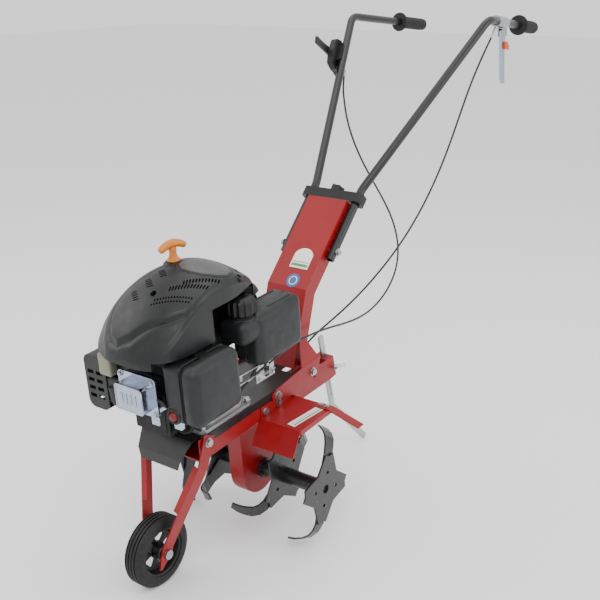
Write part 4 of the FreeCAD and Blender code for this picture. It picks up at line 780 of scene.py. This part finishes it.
def housing_mesh():
    """Outer skin with its relief, the skirt, and a plain inner skin, closed at the lower rim."""
    plan = plan_outline()
    count, rings, inner_rings = 400, 150, 40
    turns = [2 * math.pi * k / count for k in range(count)]
    border = [edge_reach(turn, plan) for turn in turns]
    verts, faces = [], []
    for ring in range(rings):
        share = math.sin(math.pi / 2 * (ring + 0.5) / rings)
        for turn, edge in zip(turns, border):
            reach = edge * share
            x, y = DOME[0] + reach * math.cos(turn), DOME[1] + reach * math.sin(turn)
            steep = reach >= DOME_RADIUS * 0.985
            normal = Vector((math.cos(turn), math.sin(turn), 0.1)) if steep else dome_normal(x, y)
            spot = Vector((x, y, dome_level(x, y))) + normal * panel_lift(x, y, edge - reach)
            spot.z -= (1 - ease(edge - reach, 0.0, 9.0)) * EDGE_ROLL
            verts.append(spot)
        if ring:
            bridge(faces, (ring - 1) * count, ring * count, count)
    faces.append(tuple(range(count))[::-1])
    last = (rings - 1) * count
    for drop in (0.4, 0.8, 1.0):
        for k, (turn, edge) in enumerate(zip(turns, border)):
            top = verts[(rings - 1) * count + k]
            level = top.z + (SKIRT_LOW - top.z) * drop
            reach = edge + SKIRT_FLARE
            verts.append(Vector((DOME[0] + reach * math.cos(turn), DOME[1] + reach * math.sin(turn), level)))
        bridge(faces, last, len(verts) - count, count)
        last = len(verts) - count
    for turn, edge in zip(turns, border):
        reach = edge - RIM_WALL
        verts.append(Vector((DOME[0] + reach * math.cos(turn), DOME[1] + reach * math.sin(turn), SKIRT_LOW)))
    bridge(faces, last, len(verts) - count, count)
    last = len(verts) - count
    for ring in range(inner_rings, 0, -1):
        share = math.sin(math.pi / 2 * (ring - 0.5) / inner_rings)
        for turn, edge in zip(turns, border):
            reach = (edge - RIM_WALL) * share
            x, y = DOME[0] + reach * math.cos(turn), DOME[1] + reach * math.sin(turn)
            level = max(dome_level(x, y) - ROOF_WALL, SKIRT_LOW + 4.0)
            if edge < DOME_RADIUS * 0.99:
                level -= 3.0 * share**6
            verts.append(Vector((x, y, level)))
        bridge(faces, last, len(verts) - count, count)
        last = len(verts) - count
    faces.append(tuple(range(last, last + count)))
    return verts, faces


def cut_away(made_object, cutter):
    """Apply a boolean difference to a mesh and remove its cutter."""
    cut = made_object.modifiers.new("openings", "BOOLEAN")
    cut.object = cutter
    cut.operation = "DIFFERENCE"
    cut.solver = "MANIFOLD"
    bpy.context.view_layer.update()
    graph = bpy.context.evaluated_depsgraph_get()
    result = bpy.data.meshes.new_from_object(made_object.evaluated_get(graph))
    made_object.modifiers.clear()
    made_object.data = result
    bpy.data.objects.remove(cutter)


# Rooms under the brim for the air filter, the exhaust and the fuel tank with its neck.
HOUSING_ROOMS = (
    ((62, -366, 280), (150, -176, 416)),
    ((-190, -370, 330), (66, -212, 400)),
    ((38, -200, 330), (150, -50, 482)),
    ((38, -50, 330), (150, 60, 452)),
)


def make_housing():
    """The cowl with its vents, screw wells and the rooms for the parts beside it."""
    verts, faces = housing_mesh()
    housing = piece("housing_shell", verts, faces, COWL, None)
    cut_away(housing, housing_cutter())
    for room in HOUSING_ROOMS:
        cut_away(housing, piece("room_cutter", *plain_block(*room), COWL, None, smooth=False))
    for polygon in housing.data.polygons:
        polygon.use_smooth = True
    housing.data.set_sharp_from_angle(angle=math.radians(38))
    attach(housing, "chassis")
    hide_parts("blower_housing")


def plain_block(low, high):
    verts = [(x, y, z) for z in (low[2], high[2]) for y in (low[1], high[1]) for x in (low[0], high[0])]
    faces = [(0, 2, 3, 1), (4, 5, 7, 6), (0, 1, 5, 4), (1, 3, 7, 5), (3, 2, 6, 7), (2, 0, 4, 6)]
    return verts, faces


def surface_frame(x, y, heading):
    """A frame on the dome: z out of the surface, x along a plan direction in degrees."""
    normal = dome_normal(x, y)
    side = Vector((math.cos(math.radians(heading)), math.sin(math.radians(heading)), 0))
    return frame_at((x, y, dome_level(x, y)), normal, side)


def slot_block(x, y, heading, length, width, depth=16.0):
    """A small cutter block across the surface, longer along its heading."""
    matrix = surface_frame(x, y, heading)
    verts = []
    for w in (-depth / 2, depth / 2):
        for u, v in ((-1, -0.6), (-0.7, -1), (0.7, -1), (1, -0.6), (1, 0.6), (0.7, 1), (-0.7, 1), (-1, 0.6)):
            verts.append(matrix @ Vector((u * length / 2, v * width / 2, w)))
    faces = [tuple(range(8))[::-1], tuple(range(8, 16))]
    bridge(faces, 0, 8, 8)
    return verts, faces


# Rows of vent slots: start, end, count, slot heading, slot length, slot width.
VENT_ROWS = (
    ((52, -216), (92, -163), 12, 122, 12, 3.2),
    ((38, -240), (90, -194), 13, 110, 12, 3.0),
    ((24, -268), (84, -232), 14, 110, 4.4, 3.0),
    ((22, -277), (84, -241), 14, 110, 4.4, 3.0),
    ((38, -62), (72, -84), 9, 50, 12, 2.8),
    ((28, -46), (54, -54), 6, 70, 10, 2.8),
    ((-14, -205), (4, -219), 5, -150, 15, 2.8),
    ((-27, -231), (-8, -246), 5, -150, 15, 2.8),
    ((-42, -257), (-22, -273), 5, -150, 15, 2.8),
    ((-84, -60), (-112, -120), 10, 20, 18, 3.0),
    ((-60, -30), (-90, -16), 6, 110, 16, 3.0),
    ((-112, -170), (-116, -226), 9, 0, 18, 3.0),
)
SCREW_WELLS = ((12, -258), (88, -98), (-30, -60), (27, -181))


def housing_cutter():
    blocks = []
    for start, end, count, heading, length, width in VENT_ROWS:
        for k in range(count):
            share = k / (count - 1)
            x = start[0] + (end[0] - start[0]) * share
            y = start[1] + (end[1] - start[1]) * share
            blocks.append(slot_block(x, y, heading, length, width))
    for x, y in SCREW_WELLS:
        matrix = surface_frame(x, y, 0)
        blocks.append(lathe_mesh(matrix, [(6.5, -9), (6.5, 9)], 24))
    verts, faces = joined(blocks)
    return piece("housing_cutter", verts, faces, COWL, None, smooth=False)


make_housing()


def make_housing_walls():
    """The inner walls that close the housing towards the tank and over the exhaust."""
    spots = [(36.5, y) for y in range(-200, 27, 8)]
    verts, faces = [], []
    for x, y in spots:
        top = dome_level(x, y) - 6
        for dx, z in ((-1.5, SKIRT_LOW), (1.5, SKIRT_LOW), (1.5, top), (-1.5, top)):
            verts.append((x + dx, y, z))
    for k in range(len(spots) - 1):
        bridge(faces, 4 * k, 4 * k + 4, 4)
    faces += [(0, 1, 2, 3), tuple(range(len(verts) - 4, len(verts)))]
    piece("housing_tank_wall", verts, faces, COWL, "chassis", smooth=False)
    end_wall = plain_block((36, -202, SKIRT_LOW), (96, -199, 486))
    piece("housing_end_wall", *end_wall, COWL, "chassis", smooth=False)
    guard = plain_block((-100, -290, 296), (60, -287, 430))
    piece("exhaust_baffle", *guard, COWL, "chassis", smooth=False)


make_housing_walls()


def make_screw_wells():
    """A raised rim, a floor and a screw head in each well."""
    rims, floors, screws = [], [], []
    for x, y in SCREW_WELLS:
        matrix = surface_frame(x, y, 0)
        verts, faces = lathe_mesh(matrix, [(6.6, -9), (6.6, 2.6), (9.4, 2.2), (9.8, -1)], 28)
        rims.append((verts, faces[:-2]))
        floors.append(lathe_mesh(matrix, [(6.8, -11.5), (6.8, -10.4), (0.01, -10.4)], 28))
        seat = matrix @ Matrix.Translation((0, 0, -10.8))
        screws.append(lathe_mesh(seat, [(4.6, 0), (4.6, 3.4), (3.8, 4.4), (0.01, 4.4)], 6))
    piece("screw_wells", *joined(rims + floors), COWL, "chassis")
    piece("housing_screws", *joined(screws), IRON, "chassis", smooth=False)


make_screw_wells()


def surface_patch(name, outline, lift, material, inset=0.0):
    """A thin panel that lies on the dome, with the outline given in plan."""
    centre = Vector((sum(p[0] for p in outline) / len(outline), sum(p[1] for p in outline) / len(outline)))
    count = 96
    border = []
    for k in range(count):
        turn = 2 * math.pi * k / count
        low, high = 0.0, 200.0
        for _ in range(20):
            middle = (low + high) / 2
            spot = (centre.x + middle * math.cos(turn), centre.y + middle * math.sin(turn))
            if outline_distance(*spot, outline) > inset:
                low = middle
            else:
                high = middle
        border.append(low)
    verts, faces = [], []
    shares = (0.02, 0.2, 0.4, 0.6, 0.8, 0.95, 1.0, 1.0)
    for ring, share in enumerate(shares):
        for k in range(count):
            turn = 2 * math.pi * k / count
            x = centre.x + border[k] * share * math.cos(turn)
            y = centre.y + border[k] * share * math.sin(turn)
            rise = lift if ring < 5 else (lift * 0.98, lift * 0.7, -1.5)[ring - 5]
            verts.append(Vector((x, y, dome_level(x, y))) + dome_normal(x, y) * rise)
    for ring in range(len(shares) - 1):
        bridge(faces, ring * count, (ring + 1) * count, count)
    faces.append(tuple(range(count))[::-1])
    return piece(name, verts, faces, material, "chassis")


INSERT_OUTLINE = [
    (6, -180),
    (24, -190),
    (44, -186),
    (64, -174),
    (80, -154),
    (86, -132),
    (78, -112),
    (62, -102),
    (44, -108),
    (26, -126),
    (10, -152),
]
surface_patch("silver_insert", INSERT_OUTLINE, 4.2, INSERT)
surface_patch("insert_rim", INSERT_OUTLINE, 3.4, COWL, inset=-5.0)


def make_rear_boss():
    """The rope guide under the pull handle."""
    matrix = frame_at((*STARTER, dome_level(*STARTER)), (0, 0, 1))
    profile = [(24, -7), (21, 1), (17, 4.5), (11, 5.2), (8, 4), (8, -4)]
    verts, faces = lathe_mesh(matrix, profile, 40)
    piece("rope_guide", verts, faces[:-2], COWL, "chassis")


make_rear_boss()


# ---------------------------------------------------------------- pull starter


def make_pull_handle():
    """The tee handle with its drooping arms, over a thin rope."""
    spin = Matrix.Translation(Vector((*STARTER, HANDLE_LEVEL))) @ Matrix.Rotation(math.radians(76), 4, "Z")
    stem = lathe_mesh(
        spin,
        [(0.01, 5), (6.5, 6), (10.5, 9), (12.5, 13), (10, 18), (7.5, 24), (7.2, 32), (9.5, 40), (0.01, 44)],
        32,
    )
    arm_points, radii = [], []
    for k in range(-12, 13):
        share = k / 12
        arm_points.append(spin @ Vector((share * 30, 0, 47 - 11 * share**2)))
        radii.append(8.6 - 2.4 * share**2 if abs(share) < 0.95 else 4.2)
    arms = tube_mesh(arm_points, radii, 24, flat=1.12)
    rims = lathe_mesh(spin, [(8.5, 8), (14, 11.5), (14.6, 14), (13, 15.5), (8, 16)], 32)
    verts, faces = joined([stem, arms, rims])
    handle = piece("pull_handle", verts, faces, PULL, "starter_pull")
    subdivide(handle, 1)
    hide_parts("starter_handle")
    rope_points = [Vector((*STARTER, z)) for z in (448, 470, 500, 530, 552)]
    verts, faces = tube_mesh(rope_points, [2.2] * 5, 12)
    piece("starter_rope", verts, faces, ROPE, "starter_pull")


def subdivide(made_object, levels):
    modifier = made_object.modifiers.new("round", "SUBSURF")
    modifier.levels = levels
    modifier.render_levels = levels


make_pull_handle()


# ---------------------------------------------------------------- fuel tank and air filter


# The fuel cap's place in plan, and the primer bulb's place across and in height.
CAP = (80, -93)
BULB_X, BULB_Z = 84, 301


def make_tank():
    """The blow-moulded tank: main block, filler block, collar, seam and ribs."""
    cap_x, cap_y = CAP
    main = rounded_block((43, -90, 312), (121, 60, 427), 17, 7, 2.4)
    neck = rounded_block((cap_x - 37, cap_y - 38, 372), (cap_x + 37, cap_y + 38, 423), 17, 7, 1.0)
    collar = lathe_mesh(
        frame_at((cap_x, cap_y, 415), (0, 0, 1)),
        [(31, 0), (31, 7), (28, 9.5), (24, 10), (24, 16), (0.01, 16)],
        56,
    )
    verts, faces = joined([main, neck, collar])
    tank = piece("tank_shell", verts, faces, TANK, "chassis")
    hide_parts("fuel_tank")
    loop = block_loop(82, -90, 60, 312, 427, 17, 0.6)
    verts, faces = tube_mesh(loop, [1.5] * len(loop), 10, side=(1, 0, 0))
    piece("tank_seam", verts, faces, TANK, "chassis")
    rib = [(60, -74, 428.5), (60, 40, 428.5)], [(104, -40, 428.5), (104, 40, 428.5)]
    for index, (a, b) in enumerate(rib):
        points = [Vector(a).lerp(Vector(b), k / 8) for k in range(9)]
        radii = [0.4] + [2.0] * 7 + [0.4]
        verts, faces = tube_mesh(points, radii, 12)
        piece(f"tank_rib_{index}", verts, faces, TANK, "chassis")


def block_loop(x, y0, y1, z0, z1, radius, proud):
    """A closed loop round a block's outline at one x."""
    points = []
    y0, y1, z0, z1 = y0 - proud, y1 + proud, z0 - proud, z1 + proud
    centres = (
        (y1 - radius, z1 - radius, 0),
        (y0 + radius, z1 - radius, 90),
        (y0 + radius, z0 + radius, 180),
        (y1 - radius, z0 + radius, 270),
    )
    for cy, cz, start in centres:
        for k in range(9):
            turn = math.radians(start + 90 * k / 8)
            points.append(Vector((x, cy + radius * math.cos(turn), cz + radius * math.sin(turn))))
    points.append(points[0] + Vector((0, 0, 0.01)))
    return points


make_tank()


def make_fuel_cap():
    """The fuel cap's fluted skirt and stepped top."""
    flutes = 14
    matrix = frame_at((*CAP, 0), (0, 0, 1), (1, 0, 0))
    profile = [(29.5, 431), (30.4, 434), (30.6, 440), (30.2, 456), (29.0, 461.5), (25.5, 464.5)]
    profile += [(22.5, 464.8), (21.5, 466.6), (18, 467.6), (9, 467.9), (0.01, 468)]
    sides = flutes * 12
    verts, faces = [], []
    for radius, height in profile:
        for k in range(sides):
            turn = 2 * math.pi * k / sides
            wave = math.cos(flutes * turn)
            depth = 1.9 if 432 < height < 462 else 0.5 if height < 465 else 0.0
            reach = radius + depth * max(-0.7, min(wave * 1.6, 0.7)) if radius > 5 else radius
            verts.append(matrix @ Vector((reach * math.cos(turn), reach * math.sin(turn), height)))
    for index in range(len(profile) - 1):
        bridge(faces, index * sides, (index + 1) * sides, sides)
    faces.append(tuple(range(sides))[::-1])
    cap = piece("fuel_cap_shell", verts, faces, PLASTIC, "fuel_cap")
    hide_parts("fuel_cap")
    bars = []
    for turn in range(6):
        angle = math.radians(60 * turn)
        a = Vector((CAP[0] + 10 * math.cos(angle), CAP[1] + 10 * math.sin(angle), 467.6))
        b = Vector((CAP[0] + 19 * math.cos(angle), CAP[1] + 19 * math.sin(angle), 467.0))
        bars.append(tube_mesh([a, a.lerp(b, 0.2), a.lerp(b, 0.8), b], [0.3, 1.5, 1.5, 0.3], 10))
    verts, faces = joined(bars)
    piece("fuel_cap_bars", verts, faces, PLASTIC, "fuel_cap")


make_fuel_cap()


def make_filter_box():
    """The filter's back half and deep cover, with the joint, clips, bulb collar and choke lever."""
    back = rounded_block((64, -314, 288), (112, -186, 406), 9, 5, 0.6)
    base = piece("filter_back", *back, TANK, "chassis")
    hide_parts("air_filter_box")
    verts, faces = rounded_block((109, -318, 286), (151, -182, 411), 18, 8, 2.6)
    piece("filter_cover", verts, faces, TANK, "chassis")
    loop = block_loop(109.5, -316, -184, 288, 409, 15, 0.0)
    verts, faces = tube_mesh(loop, [1.8] * len(loop), 10, side=(1, 0, 0))
    piece("filter_joint", verts, faces, PLASTIC, "chassis")
    clip = rounded_block((92, -262, 405), (124, -236, 412), 3, 3)
    lug = rounded_block((92, -262, 284), (122, -240, 289), 2, 3)
    verts, faces = joined([clip, lug])
    piece("filter_clips", verts, faces, PLASTIC, "chassis")
    collar = lathe_mesh(
        frame_at((BULB_X, -313, BULB_Z), (0, -1, 0)),
        [(17, -3), (17, 1.5), (15.5, 3.5), (12.5, 3.5), (11.2, 2), (11.2, -4)],
        48,
    )
    piece("bulb_collar", collar[0], collar[1][:-2], PLASTIC, "chassis")
    lever = tube_mesh(
        [(70, -316, 318), (66, -319, 324), (60, -321, 330), (52, -322, 333)], [3.4, 3.2, 3.0, 2.6], 12, 0.7
    )
    piece("choke_lever", *lever, PLASTIC, "chassis")


make_filter_box()


def make_bulb():
    """The soft primer bulb, a low dome with a flat top."""
    profile = [(10.3, 0), (10.3, 4), (9.8, 7), (8.4, 9.6), (6, 11.3), (3, 12), (0.01, 12)]
    verts, faces = lathe_mesh(frame_at((BULB_X, -309, BULB_Z), (0, -1, 0)), profile, 40)
    bulb = piece("primer_dome", verts, faces, BULB_RED, "primer")
    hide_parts("primer_bulb")


make_bulb()


# ---------------------------------------------------------------- exhaust, cover and small engine parts


def make_muffler_details():
    """Embossing, screws and lower ear of the silencer, with the block and shroud beside it."""
    front = -346.2
    frame_loop = []
    for cx, cz, start in ((32, 352, 0), (-30, 352, 90), (-30, 308, 180), (32, 308, 270)):
        for k in range(7):
            turn = math.radians(start + 15 * k)
            frame_loop.append(Vector((cx + 4 * math.cos(turn) - 0.5, front, cz + 4 * math.sin(turn))))
    frame_loop.append(frame_loop[0] + Vector((0.01, 0, 0)))
    parts = [tube_mesh(frame_loop, [1.3] * len(frame_loop), 8, side=(0, 1, 0))]
    for k in range(4):
        x = -18 + 12 * k
        points = [Vector((x, front, z)) for z in (318, 322, 340, 344)]
        parts.append(tube_mesh(points, [0.4, 2.2, 2.2, 0.4], 10))
    verts, faces = joined(parts)
    piece("muffler_embossing", verts, faces, SHINY, "chassis")
    heads = []
    for x, z in ((-40, 366), (44, 366), (-40, 298), (44, 298)):
        heads.append(washer((x, -322, z), (0, -1, 0), 6.5, 1.4))
        heads.append(hexagon((x, -323.4, z), (0, -1, 0), 4.8, 4.2))
    verts, faces = joined(heads)
    piece("muffler_screws", verts, faces, ZINC, "chassis", smooth=False)
    ear = rounded_block((34, -326, 276), (54, -321, 296), 2, 3)
    piece("muffler_ear", *ear, SHINY, "chassis")
    block = rounded_block((-118, -310, 338), (-84, -288, 386), 4, 4)
    piece("guard_block", *block, KHAKI, "chassis")
    inner = rounded_block((-116, -304, 270), (-52, -262, 336), 10, 5)
    piece("cylinder_shroud", *inner, COWL, "chassis")


make_muffler_details()


def rod(name, points, radius, material, body="chassis", sides=12):
    verts, faces = tube_mesh([Vector(p) for p in points], [radius] * len(points), sides)
    return piece(name, verts, faces, material, body)


def make_linkages():
    """The governor rod, springs, pipes and brackets that show below the tank."""
    rod("governor_rod", [(96, -180, 300), (97, -150, 308), (97, -60, 306), (94, -20, 300)], 1.5, ZINC)
    rod("throttle_rod", [(100, -170, 290), (101, -120, 292), (100, -74, 290)], 1.3, ZINC)
    fuel_line = [(86, -60, 314), (90, -70, 300), (92, -96, 284), (90, -128, 270), (87, -146, 262)]
    rod("fuel_pipe", fuel_line, 3.4, BLACK_RUBBER)
    breather_line = [(60, -190, 330), (70, -180, 322), (78, -160, 318), (84, -140, 322)]
    rod("breather_pipe", breather_line, 4.2, BLACK_RUBBER)
    rod("oil_tube", [(58, -252, 232), (60, -262, 246), (62, -270, 258)], 8.5, PLASTIC)
    coil = []
    for k in range(120):
        share = k / 119
        turn = share * 2 * math.pi * 12
        coil.append(Vector((99 + 3 * math.cos(turn), -64 + 42 * share, 282 + 3 * math.sin(turn))))
    rod("governor_spring", coil, 0.5, ZINC, sides=6)
    plate = rounded_block((88, -74, 262), (92, -14, 300), 1.5, 3)
    piece("control_plate", *plate, ZINC, "chassis")
    arm = rounded_block((92, -46, 268), (95, -34, 306), 1.2, 3)
    piece("control_arm", *arm, PLASTIC, "chassis")
    heads = []
    for y, z in ((-66, 270), (-22, 270), (-40, 296)):
        heads.append(washer((92, y, z), (1, 0, 0), 5.5, 1.2))
        heads.append(hexagon((93.2, y, z), (1, 0, 0), 4.0, 3.4))
    verts, faces = joined(heads)
    piece("control_screws", verts, faces, ZINC, "chassis", smooth=False)
    profile = [(26, 0), (26, 4), (22, 7), (10, 8), (0.01, 8)]
    cover = lathe_mesh(frame_at((70, -150, 262), (1, 0, 0)), profile, 48)
    piece("breather_cover", *cover, CAST, "chassis")
    foil = rounded_block((66, -300, 262), (86, -288, 282), 3, 3)
    piece("oil_neck_bracket", *foil, SHINY, "chassis")


make_linkages()


# ---------------------------------------------------------------- labels and handles

COLUMN_LEAN = math.radians(42)
COLUMN_UP = Vector((0, math.cos(COLUMN_LEAN), math.sin(COLUMN_LEAN)))
COLUMN_FRONT = Vector((0, -math.sin(COLUMN_LEAN), math.cos(COLUMN_LEAN)))
COLUMN_TOP = Vector((0, 340, 542))


def label(name, outline, matrix, lift, material):
    """A thin sticker with a bevelled edge."""
    verts, faces = [], []
    count = len(outline)
    centre = Vector((sum(p[0] for p in outline) / count, sum(p[1] for p in outline) / count))
    for shrink, height in ((1.0, 0.0), (1.0, lift * 0.8), (0.985, lift), (0.02, lift)):
        for u, v in outline:
            spot = centre + (Vector((u, v)) - centre) * shrink
            verts.append(matrix @ Vector((spot.x, spot.y, height)))
    for ring in range(3):
        bridge(faces, ring * count, (ring + 1) * count, count)
    faces.append(tuple(range(3 * count, 4 * count)))
    return piece(name, verts, faces, material, "chassis", smooth=False)


def column_matrix(x, along):
    """On the column's front face: x across, y up the column, z out."""
    origin = COLUMN_TOP + COLUMN_UP * along + Vector((x, 0, 0))
    return Matrix.Translation(origin) @ Matrix(
        ((1, 0, 0), tuple(COLUMN_UP), tuple(COLUMN_FRONT))
    ).transposed().to_4x4()


def disc(radius, count=48):
    return [
        (radius * math.cos(2 * math.pi * k / count), radius * math.sin(2 * math.pi * k / count))
        for k in range(count)
    ]


def arch(width, height, count=24):
    """A rectangle whose upper end is round."""
    half = width / 2
    points = [(-half, -height / 2), (half, -height / 2)]
    for k in range(count + 1):
        turn = math.pi * k / count
        points.append((half * math.cos(turn), height / 2 - half * 0.8 + half * 0.8 * math.sin(turn)))
    return points


def bar_outline(width, height):
    x, y = width / 2, height / 2
    return [(-x, -y), (x, -y), (x, y), (-x, y)]


label("column_label", arch(50, 52), column_matrix(8, -164), 0.35, LABEL)
label("column_label_band", bar_outline(44, 7), column_matrix(8, -182), 0.5, LABEL_GREEN)
label("column_label_line", bar_outline(44, 2), column_matrix(8, -174), 0.5, LABEL_GREY)
label("column_seal", disc(17), column_matrix(10, -222), 0.35, LABEL_BLUE)
label("column_seal_ring", disc(11), column_matrix(10, -222), 0.5, LABEL)
label("column_seal_middle", disc(9), column_matrix(10, -222), 0.65, LABEL_BLUE)
GUARD_TOP = Matrix.Translation(Vector((158, 4, 169.1))) @ Matrix.Rotation(math.radians(84), 4, "Z")
label("guard_label", bar_outline(104, 20), GUARD_TOP, 0.35, LABEL)
label("guard_label_band", bar_outline(96, 4), GUARD_TOP @ Matrix.Translation((0, -5, 0)), 0.5, LABEL_GREEN)
label("guard_label_line", bar_outline(96, 1.5), GUARD_TOP @ Matrix.Translation((0, 2, 0)), 0.5, LABEL_GREY)
